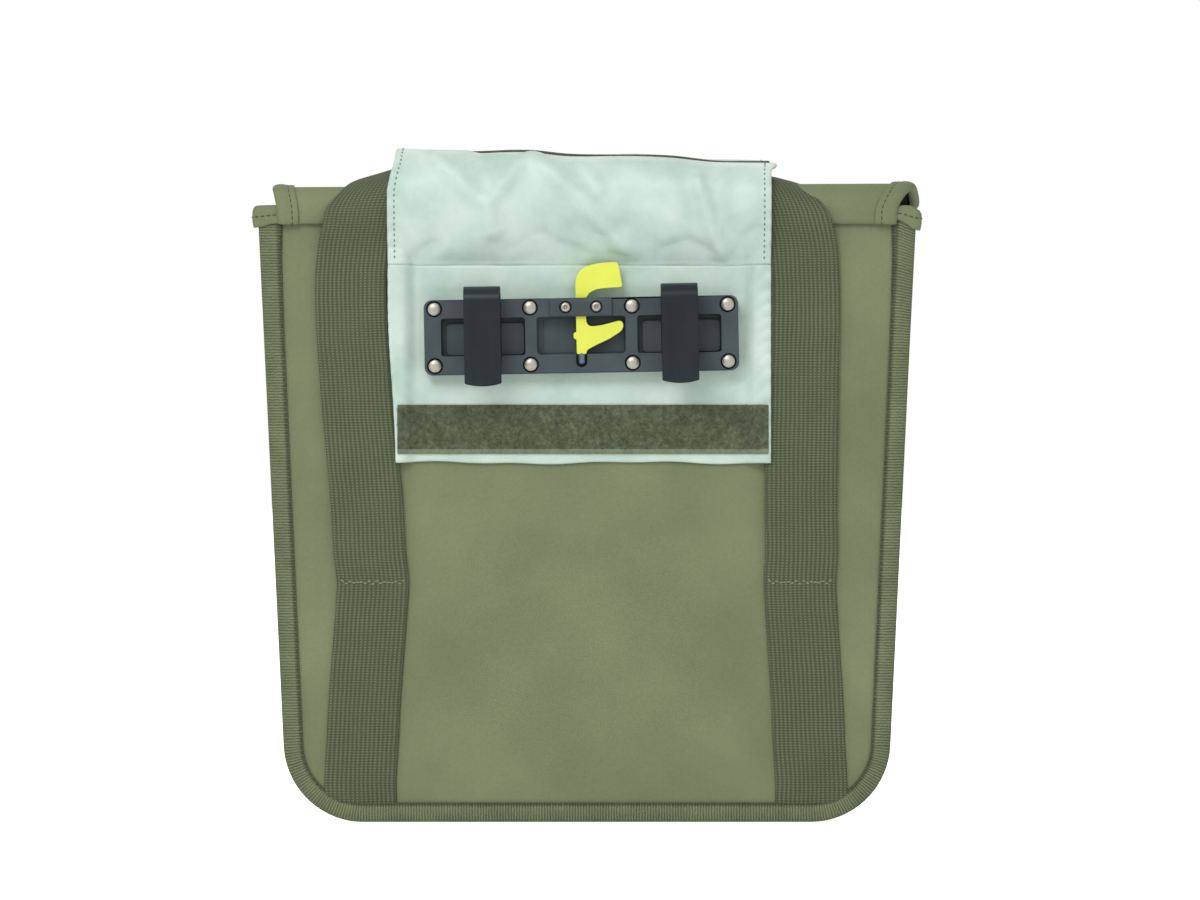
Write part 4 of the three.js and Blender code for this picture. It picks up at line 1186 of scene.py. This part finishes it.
flap_along = np.linspace(0, flap_length, 76)
flap_shares = np.linspace(-1, 1, 131)
flap_points = flap_grid(flap_along, flap_shares, mint_wall / 2)
flap_mesh = wall("cover_flap_cloth", flap_points, mint_wall)
flap_piece = fit("cover_flap_cloth", flap_mesh, mint, ["cover_flap"])
edge_lines = [
    flap_grid(flap_along, np.array([middle - 0.005, middle, middle + 0.005]), mint_wall)[3:, 1]
    for middle in (-0.968, 0.968)
]
sew("flap_stitches", edge_lines, mint_thread, pitch=3.3 * mm, length=1.7 * mm, radius=0.5 * mm)

# Hook tape.
# The stiff half of the fastening, on the flap's turned-back end. It is a woven tape with rows of
# tiny moulded hooks, seen only along its edge over the crest.
hook_tape_inset = 6 * mm
hook_tape_width = 25 * mm
fuzzy_wall = 1.8 * mm
hook_along = np.linspace(flap_length - hook_tape_inset - hook_tape_width, flap_length - hook_tape_inset, 12)
hook_points = flap_grid(hook_along, flap_shares, mint_wall + gap + fuzzy_wall / 2)
hook_pile = brushed_pile("hook_tape_pile", "#34372a", "#4a4d3a", "#63674f")
fit("hook_strip", wall("hook_strip", hook_points, fuzzy_wall), hook_pile, ["hook_tape"])


# Hook rail.
# One long block of glass-filled nylon with three recessed windows, riveted through the mint panel.
# The moulding gives it a fine satin face and soft edges. It sits a degree off level.
rail_tilt = math.radians(1)
rail_place = Matrix.Translation((-3.2 * mm, back_face - 2.1 * mm, rail_height))
rail_matrix = rail_place @ Matrix.Rotation(-rail_tilt, 4, "Y")
rail_length = 180
rail_width = 43
rail_thick = 10
rail_floor = 2
window_height = 21.5
window_pitch = 56.2
side_window = 47.8
middle_window = 50.7
rivet_spots = [(x, z) for x in (-84, -29.2, 29.2, 84) for z in (16.3, -16.3)]
rivet_recess = 4.45
screw_spots = [(-8.8, 16.1), (8.8, 16.1)]
slot_half = 3.1
slot_foot = -18.25


def moulded(name, dark, mid, grit, roughness, **sockets):
    """Moulded plastic: an even satin face with a fine spark-eroded grain, drawn at 0.7 mm."""
    made, tree, shader = blank(name, roughness, **sockets)
    place = add(tree, "ShaderNodeTexCoord").outputs["Object"]
    grain = add(tree, "ShaderNodeTexNoise", {"Vector": place, "Scale": 1 / (0.7 * mm), "Detail": 3})
    patches = add(tree, "ShaderNodeTexNoise", {"Vector": place, "Scale": 45, "Detail": 2})
    rubbed = add(
        tree, "ShaderNodeMapRange", {0: patches, 1: 0.3, 2: 0.75, 3: roughness + 0.07, 4: roughness - 0.07}
    )
    tree.links.new(rubbed.outputs[0], shader.inputs["Roughness"])
    surface(tree, shader, patches, [(0.3, dark), (0.75, mid)], grain, grit, 0.08 * mm)
    return made


def arc(x, z, radius, start, end, steps=6):
    """Points of an arc in X and Z, between two angles in degrees."""
    angles = np.radians(np.linspace(start, end, steps + 1))
    return [(x + radius * math.cos(a), z + radius * math.sin(a)) for a in angles]


def slab(x, z, width, height, radius, steps=6):
    """The outline of a rectangle with rounded corners."""
    half_x, half_z = width / 2 - radius, height / 2 - radius
    corners = [(half_x, -half_z, -90), (half_x, half_z, 0), (-half_x, half_z, 90), (-half_x, -half_z, 180)]
    return [point for cx, cz, a in corners for point in arc(x + cx, z + cz, radius, a, a + 90, steps)]


def block(outlines, low, high):
    """A solid between two distances in front of the rail's back. Outlines after the first are holes."""
    shape = bmesh.new()
    for line in outlines:
        made = [shape.verts.new((x, -low, z)) for x, z in line]
        for index, vertex in enumerate(made):
            shape.edges.new((vertex, made[(index + 1) % len(made)]))
    filled = bmesh.ops.triangle_fill(shape, edges=shape.edges[:], use_beauty=True, use_dissolve=False)
    faces = [item for item in filled["geom"] if isinstance(item, bmesh.types.BMFace)]
    drawn = bmesh.ops.extrude_face_region(shape, geom=faces)
    moved = [item for item in drawn["geom"] if isinstance(item, bmesh.types.BMVert)]
    bmesh.ops.translate(shape, verts=moved, vec=(0, low - high, 0))
    shape.faces.ensure_lookup_table()
    bmesh.ops.recalc_face_normals(shape, faces=shape.faces[:])
    bmesh.ops.dissolve_limit(shape, angle_limit=0.01, verts=shape.verts[:], edges=shape.edges[:])
    return shape


def bevelled(name, shapes, bevel, place=rail_matrix, segments=3):
    """Joins shapes into one mesh, rounds its edges and puts it where it belongs."""
    joined = bmesh.new()
    for shape in shapes:
        held = bpy.data.meshes.new("held")
        shape.to_mesh(held)
        shape.free()
        joined.from_mesh(held)
        bpy.data.meshes.remove(held)
    mesh = bpy.data.meshes.new(name)
    joined.to_mesh(mesh)
    joined.free()
    mesh.transform(place @ Matrix.Scale(mm, 4))
    soften(mesh)
    carrier = put(name, mesh)
    rounding = carrier.modifiers.new("edges", "BEVEL")
    rounding.width = bevel * mm
    rounding.segments = segments
    rounding.limit_method = "ANGLE"
    rounding.angle_limit = math.radians(32)
    rounding.harden_normals = True
    rounding.use_clamp_overlap = True
    return as_mesh(name, carrier)


windows = [
    slab(0, 0, middle_window, window_height, 1.5, 3),
    slab(-window_pitch, 0, side_window, window_height, 1.5, 3),
    slab(window_pitch, 0, side_window, window_height, 1.5, 3),
]
recesses = [arc(x, z, rivet_recess, 0, 345, 23) for x, z in rivet_spots]
outer = slab(0, 0, rail_length, rail_width, 4.5)
skirt = slab(0, 0, rail_length - 1, rail_width - 1, 4)
sill = -window_height / 2
jamb = middle_window / 2
middle_with_slot = [point for point in windows[0] if point[1] > 0]
middle_with_slot += [(-jamb, sill + 1.5), (-jamb + 1.5, sill), (-slot_half, sill)]
middle_with_slot += arc(0, slot_foot + slot_half, slot_half, 180, 360, 12)
middle_with_slot += [(slot_half, sill), (jamb - 1.5, sill), (jamb, sill + 1.5)]
rail_shapes = [
    block([outer, middle_with_slot, *windows[1:], *recesses], 0.3, rail_thick),
    block([skirt], 0, rail_floor),
    block([slab(1.4, 0, 46.6, window_height - 1.6, 1, 3)], 1, rail_floor + 0.3),
    block([slab(0, slot_foot + slot_half + 2, 9, 14, 1, 2)], 1, 3.6),
]
for side in (-1, 1):
    x = side * window_pitch
    rail_shapes.append(block([slab(x + 1.1, -1.2, side_window - 3, window_height - 3, 2.4)], 1, 4.6))
nylon = moulded("moulded_glass_filled_nylon", "#343f43", "#424e52", 0.35, 0.5, Specular_IOR_Level=0.4)
fit("hook_rail", bevelled("hook_rail", rail_shapes, 0.7), nylon, ["rail"])

# Rivets.
# Domed heads of nickelled steel, pressed and lightly brushed, each in its own round recess.
rivet_radius = 3.75
rivet_dome = 1.8
screw_radius = 2.7
screw_dome = 1.1


def nickel_steel():
    """Nickelled steel: warm grey, softly blurred reflections with fine scuffs from handling."""
    made, tree, shader = blank("nickelled_steel", 0.38, Metallic=1.0)
    place = add(tree, "ShaderNodeTexCoord").outputs["Object"]
    scuffs = add(tree, "ShaderNodeTexNoise", {"Vector": place, "Scale": 900, "Detail": 5, "Roughness": 0.7})
    worn = add(tree, "ShaderNodeMapRange", {0: scuffs, 1: 0.3, 2: 0.7, 3: 0.3, 4: 0.5})
    tree.links.new(worn.outputs[0], shader.inputs["Roughness"])
    surface(tree, shader, scuffs, [(0.3, "#a5a396"), (0.75, "#cbc9be")], scuffs, 0.25, 0.05 * mm)
    return made


def turned(name, profile, steps=36, flats=()):
    """A shape turned about an axis towards the viewer, from a profile of radius and height in mm.
    The rows named as flats are six-sided."""
    rings = []
    for row, (radius, height) in enumerate(profile):
        ring = []
        for angle in np.linspace(0, 2 * math.pi, steps, endpoint=False):
            past = (angle % (math.pi / 3)) - math.pi / 6
            reach = radius * (math.cos(math.pi / 6) / math.cos(past) if row in flats else 1)
            ring.append((reach * math.cos(angle), -height, reach * math.sin(angle)))
        rings += ring
    faces = []
    for row in range(len(profile) - 1):
        for step in range(steps):
            a, b = row * steps + step, row * steps + (step + 1) % steps
            faces.append((a, b, b + steps, a + steps))
    shape = bmesh.new()
    made = [shape.verts.new(point) for point in rings]
    for face in faces:
        shape.faces.new([made[index] for index in face])
    bmesh.ops.remove_doubles(shape, verts=shape.verts[:], dist=1e-5)
    bmesh.ops.holes_fill(shape, edges=shape.edges[:], sides=0)
    bmesh.ops.recalc_face_normals(shape, faces=shape.faces[:])
    mesh = bpy.data.meshes.new(name)
    shape.to_mesh(mesh)
    shape.free()
    mesh.transform(Matrix.Scale(mm, 4))
    soften(mesh)
    return mesh


def head_tree():
    """Sets a copy of one head on each point."""
    tree, start = begin_tree("heads", Head="Object", Size=1.0, Metal="Material")
    head = add(tree, "GeometryNodeObjectInfo", {"Object": start["Head"]})
    laid = add(
        tree,
        "GeometryNodeInstanceOnPoints",
        {"Points": start["Geometry"], "Instance": head.outputs["Geometry"], "Scale": start["Size"]},
    )
    return end_tree(tree, laid, start["Metal"])


head_nodes = head_tree()
nickel = nickel_steel()


def set_heads(name, head, spots, height, nodes):
    """Copies of a head at spots on the rail, at a height in front of its back, as one piece."""
    points = [rail_matrix @ Vector((x * mm, -height * mm, z * mm)) for x, z in spots]
    mesh = mesh_from(name, points)
    model = put("head", head)
    made = grow(name, mesh, head_nodes, Head=model, Metal=nickel)
    bpy.data.objects.remove(model)
    return fit(name, made, None, nodes)


rivet_profile = [(0, -7), (rivet_radius - 0.6, -7), (rivet_radius - 0.4, 0), (rivet_radius, 0.15)]
for a in np.linspace(0, math.pi / 2, 9):
    rivet_profile.append((rivet_radius * math.cos(a), 0.35 + (rivet_dome - 0.35) * math.sin(a)))
set_heads(
    "rivets",
    turned("rivet_head", rivet_profile),
    rivet_spots,
    rail_thick + 0.3,
    [f"rivet_{index}" for index in range(1, 9)],
)

# Lever bracket and screws.
# A thin cover of the rail's nylon lies over the lever's stem and holds it in its groove. It is
# arched a little over the stem, and two hexagon screws hold it.
bracket_half = 17.8
bracket_low = 11.0
bracket_high = 21.2
bracket_face = 13.3
bracket_arch = 1.1
screw_recess = 3.5
bracket_line = slab(0, (bracket_low + bracket_high) / 2, 2 * bracket_half, bracket_high - bracket_low, 1.2, 3)
screw_holes = [arc(x, z, screw_recess, 0, 345, 23) for x, z in screw_spots]
bracket_shape = block([bracket_line, *screw_holes], rail_thick + 0.3, bracket_face)
for vertex in bracket_shape.verts:
    if vertex.co.y < -12:
        vertex.co.y += bracket_arch * min(abs(vertex.co.x) / bracket_half, 1) ** 1.5
fit("stem_bracket", bevelled("stem_bracket", [bracket_shape], 0.4), nylon, ["lever_bracket"])
screw_profile = [
    (0, -2.9), (screw_radius - 0.5, -2.9), (screw_radius - 0.3, 0), (screw_radius, 0.1), (screw_radius, 0.4),
    (2.4, 0.8), (1.9, 1.02), (1.45, screw_dome), (1.3, screw_dome - 0.1), (1.25, -0.5), (0, -0.8),
]
set_heads(
    "bracket_screws",
    turned("screw_head", screw_profile, flats=(8, 9)),
    screw_spots,
    13.2,
    ["screw_left", "screw_right"],
)

# Rack hooks.
# Moulded black nylon: a long front leg, a round bend over the rack's bar and a short back leg that
# clips into a window of the rail. The front is plain, with a shallow panel down its middle.
hook_width = 21
hook_above = 28.5
hook_below = 27
hook_back = 0.3
hook_throat_back = 3.8
hook_throat_front = 16.8
hook_front = 20.8
hook_roof = 24
hook_shoe = 5
hook_curve = 5
hook_crown = 8.5
hook_bow = 1.6
hook_panel_dip = 0.35
hook_border = 4.6


def hook_outline():
    """The hook in side view: distance in front of the rail's face, and height."""
    shoe = window_height / 2 - 0.3
    heel = window_height / 2 + 3
    line = [(hook_back, -heel), (hook_throat_back, -heel)]
    line += arc(hook_throat_back + hook_curve, hook_roof - hook_curve, hook_curve, 180, 90, 10)
    line += arc(hook_throat_front - hook_curve, hook_roof - hook_curve, hook_curve, 90, 0, 10)
    line += [(hook_throat_front, z) for z in np.linspace(hook_roof - hook_curve, -hook_below, 9)[1:]]
    line += [(hook_front - 1.2, -hook_below), (hook_front, -hook_below + 1.2)]
    line += [(hook_front, z) for z in np.linspace(-hook_below + 1.2, hook_above - hook_crown, 9)[1:-1]]
    line += arc(hook_front - hook_crown, hook_above - hook_crown, hook_crown, 0, 90, 14)
    line += arc(hook_back + hook_crown, hook_above - hook_crown, hook_crown, 90, 180, 14)
    line += [(hook_back, shoe), (-hook_shoe, shoe), (-hook_shoe, -shoe), (hook_back, -shoe)]
    return line


def hook_shape(x):
    """The outline drawn across the hook's width, with a bowed foot and a shallow front panel."""
    line = hook_outline()
    across = np.linspace(-hook_width / 2, hook_width / 2, 15)
    shape = bmesh.new()
    rings = []
    for at in across:
        bow = hook_bow * (1 - (2 * at / hook_width) ** 2)
        dip = hook_panel_dip if abs(at) < hook_width / 2 - hook_border else 0
        ring = []
        for out, z in line:
            in_leg = out > hook_throat_back + 0.1
            in_face = out > hook_front - 0.1
            low = max(z - in_leg * bow * float(step_between(-18, -27, z)), -hook_below - hook_bow)
            sunk = in_face * dip * float(step_between(19, 14, z) * step_between(-24, -21, z))
            ring.append(shape.verts.new((x + at, -(rail_thick + out - sunk), low)))
        rings.append(ring)
    for near, far in zip(rings, rings[1:]):
        for index in range(len(line)):
            after = (index + 1) % len(line)
            shape.faces.new((near[index], near[after], far[after], far[index]))
    shape.faces.new(rings[0])
    shape.faces.new(rings[-1])
    bmesh.ops.recalc_face_normals(shape, faces=shape.faces[:])
    return shape


hook_nylon = moulded("moulded_black_nylon", "#0b171b", "#152429", 0.5, 0.3, Specular_IOR_Level=0.34)
for side, name in ((-1, "hook_left"), (1, "hook_right")):
    hook_mesh = bevelled(f"rack_{name}", [hook_shape(side * window_pitch)], 0.6)
    fit(f"rack_{name}", hook_mesh, hook_nylon, [name])

# Locking lever.
# One flat moulding of yellow nylon: a grip above the rail and a locking wing in the middle window,
# on a stem that turns. Its foot is a dark pin in a slot of the rail.
lever_half = 2.25
lever_middle = 7
grip_line = [
    (-3.0, 12), (-3.0, 21), (-2.95, 29.5), (-2.3, 33.6), (-0.6, 36.4), (1.9, 38.4), (5.9, 40.2),
    (12.3, 41.3), (18.6, 41.6), (20.7, 41.5), (21.7, 40.7), (22.6, 37.0), (23.4, 32.0), (24.0, 28.6),
    (23.6, 27.4), (22.4, 27.0), (17.5, 26.9), (13.0, 26.6), (9.5, 26.1), (6.8, 25.1), (4.7, 23.6),
    (3.4, 21.6), (2.9, 19), (2.9, 12),
]
wing_line = [
    (-2.9, 13), (-2.9, 1.9), (-4.0, 1.7), (-4.5, 1.1), (-4.5, -1.2), (-4.0, -2.0), (-2.9, -2.3),
    (-2.8, -10.2), (-2.3, -10.8), (2.3, -10.8), (2.8, -10.2), (3.1, -9.0), (4.0, -8.0), (8.8, -5.6),
    (16.3, -2.2), (21.6, 1.1), (23.4, 2.7), (24.2, 4.6), (24.0, 6.5), (23.2, 7.6), (21.9, 8.0),
    (20.3, 7.7), (12.0, 5.7), (7.4, 5.1), (5.2, 5.2), (3.9, 6.0), (3.1, 7.6), (2.9, 9.6), (2.9, 13),
]
lever_shapes = [
    block([line], lever_middle - lever_half, lever_middle + lever_half) for line in (grip_line, wing_line)
]
lever_nylon = moulded("moulded_yellow_nylon", "#dbe24c", "#e5eb58", 0.2, 0.42)
lever_mesh = bevelled("locking_lever", lever_shapes, 0.8)
fit("locking_lever", lever_mesh, lever_nylon, ["lever"], body="lever")
pin_profile = [(0, 10.2), (2.3, 10.2), (2.35, 10.6), (2.35, 15.6), (2.0, 16.3), (1.2, 16.8), (0, 16.9)]
pin_mesh = turned("lever_pin", pin_profile, 28)
pin_place = Matrix.Translation((0, -lever_middle * mm, 0)) @ Matrix.Rotation(math.pi / 2, 4, "X")
pin_mesh.transform(rail_matrix @ pin_place)
pin_steel = moulded("burnished_pin", "#5c6878", "#78869a", 0.1, 0.25, Metallic=0.6)
fit("lever_pin", pin_mesh, pin_steel, body="lever")


# Floor.
# A plain pale floor that runs far behind the bag, so that it meets the white of the room.
# It glows evenly white to the camera, and faintly onto the bag, a painted glow that lights it from below.
floor_reach = 14
floor_glow_on_bag = 0.15
floor_bright = 0.95
floor_corners = [(x * floor_reach, y * floor_reach, 0) for x, y in ((-1, -1), (1, -1), (1, 1), (-1, 1))]
floor_mesh = mesh_from("floor", floor_corners, faces=[(0, 1, 2, 3)])
floor = put("floor", floor_mesh)
pale, pale_tree, pale_shader = blank("pale_floor", 0.9)
pale_shader.inputs["Base Color"].default_value = linear("#fafafa")
pale_shader.inputs["Emission Color"].default_value = (1, 1, 1, 1)
floor_seen = add(pale_tree, "ShaderNodeLightPath").outputs["Is Camera Ray"]
# Painted glow: the floor glows white to the camera and faintly onto the bag.
glow = add(pale_tree, "ShaderNodeMapRange", {0: floor_seen, 3: floor_glow_on_bag, 4: floor_bright})
pale_tree.links.new(glow.outputs[0], pale_shader.inputs["Emission Strength"])
floor_mesh.materials.append(pale)
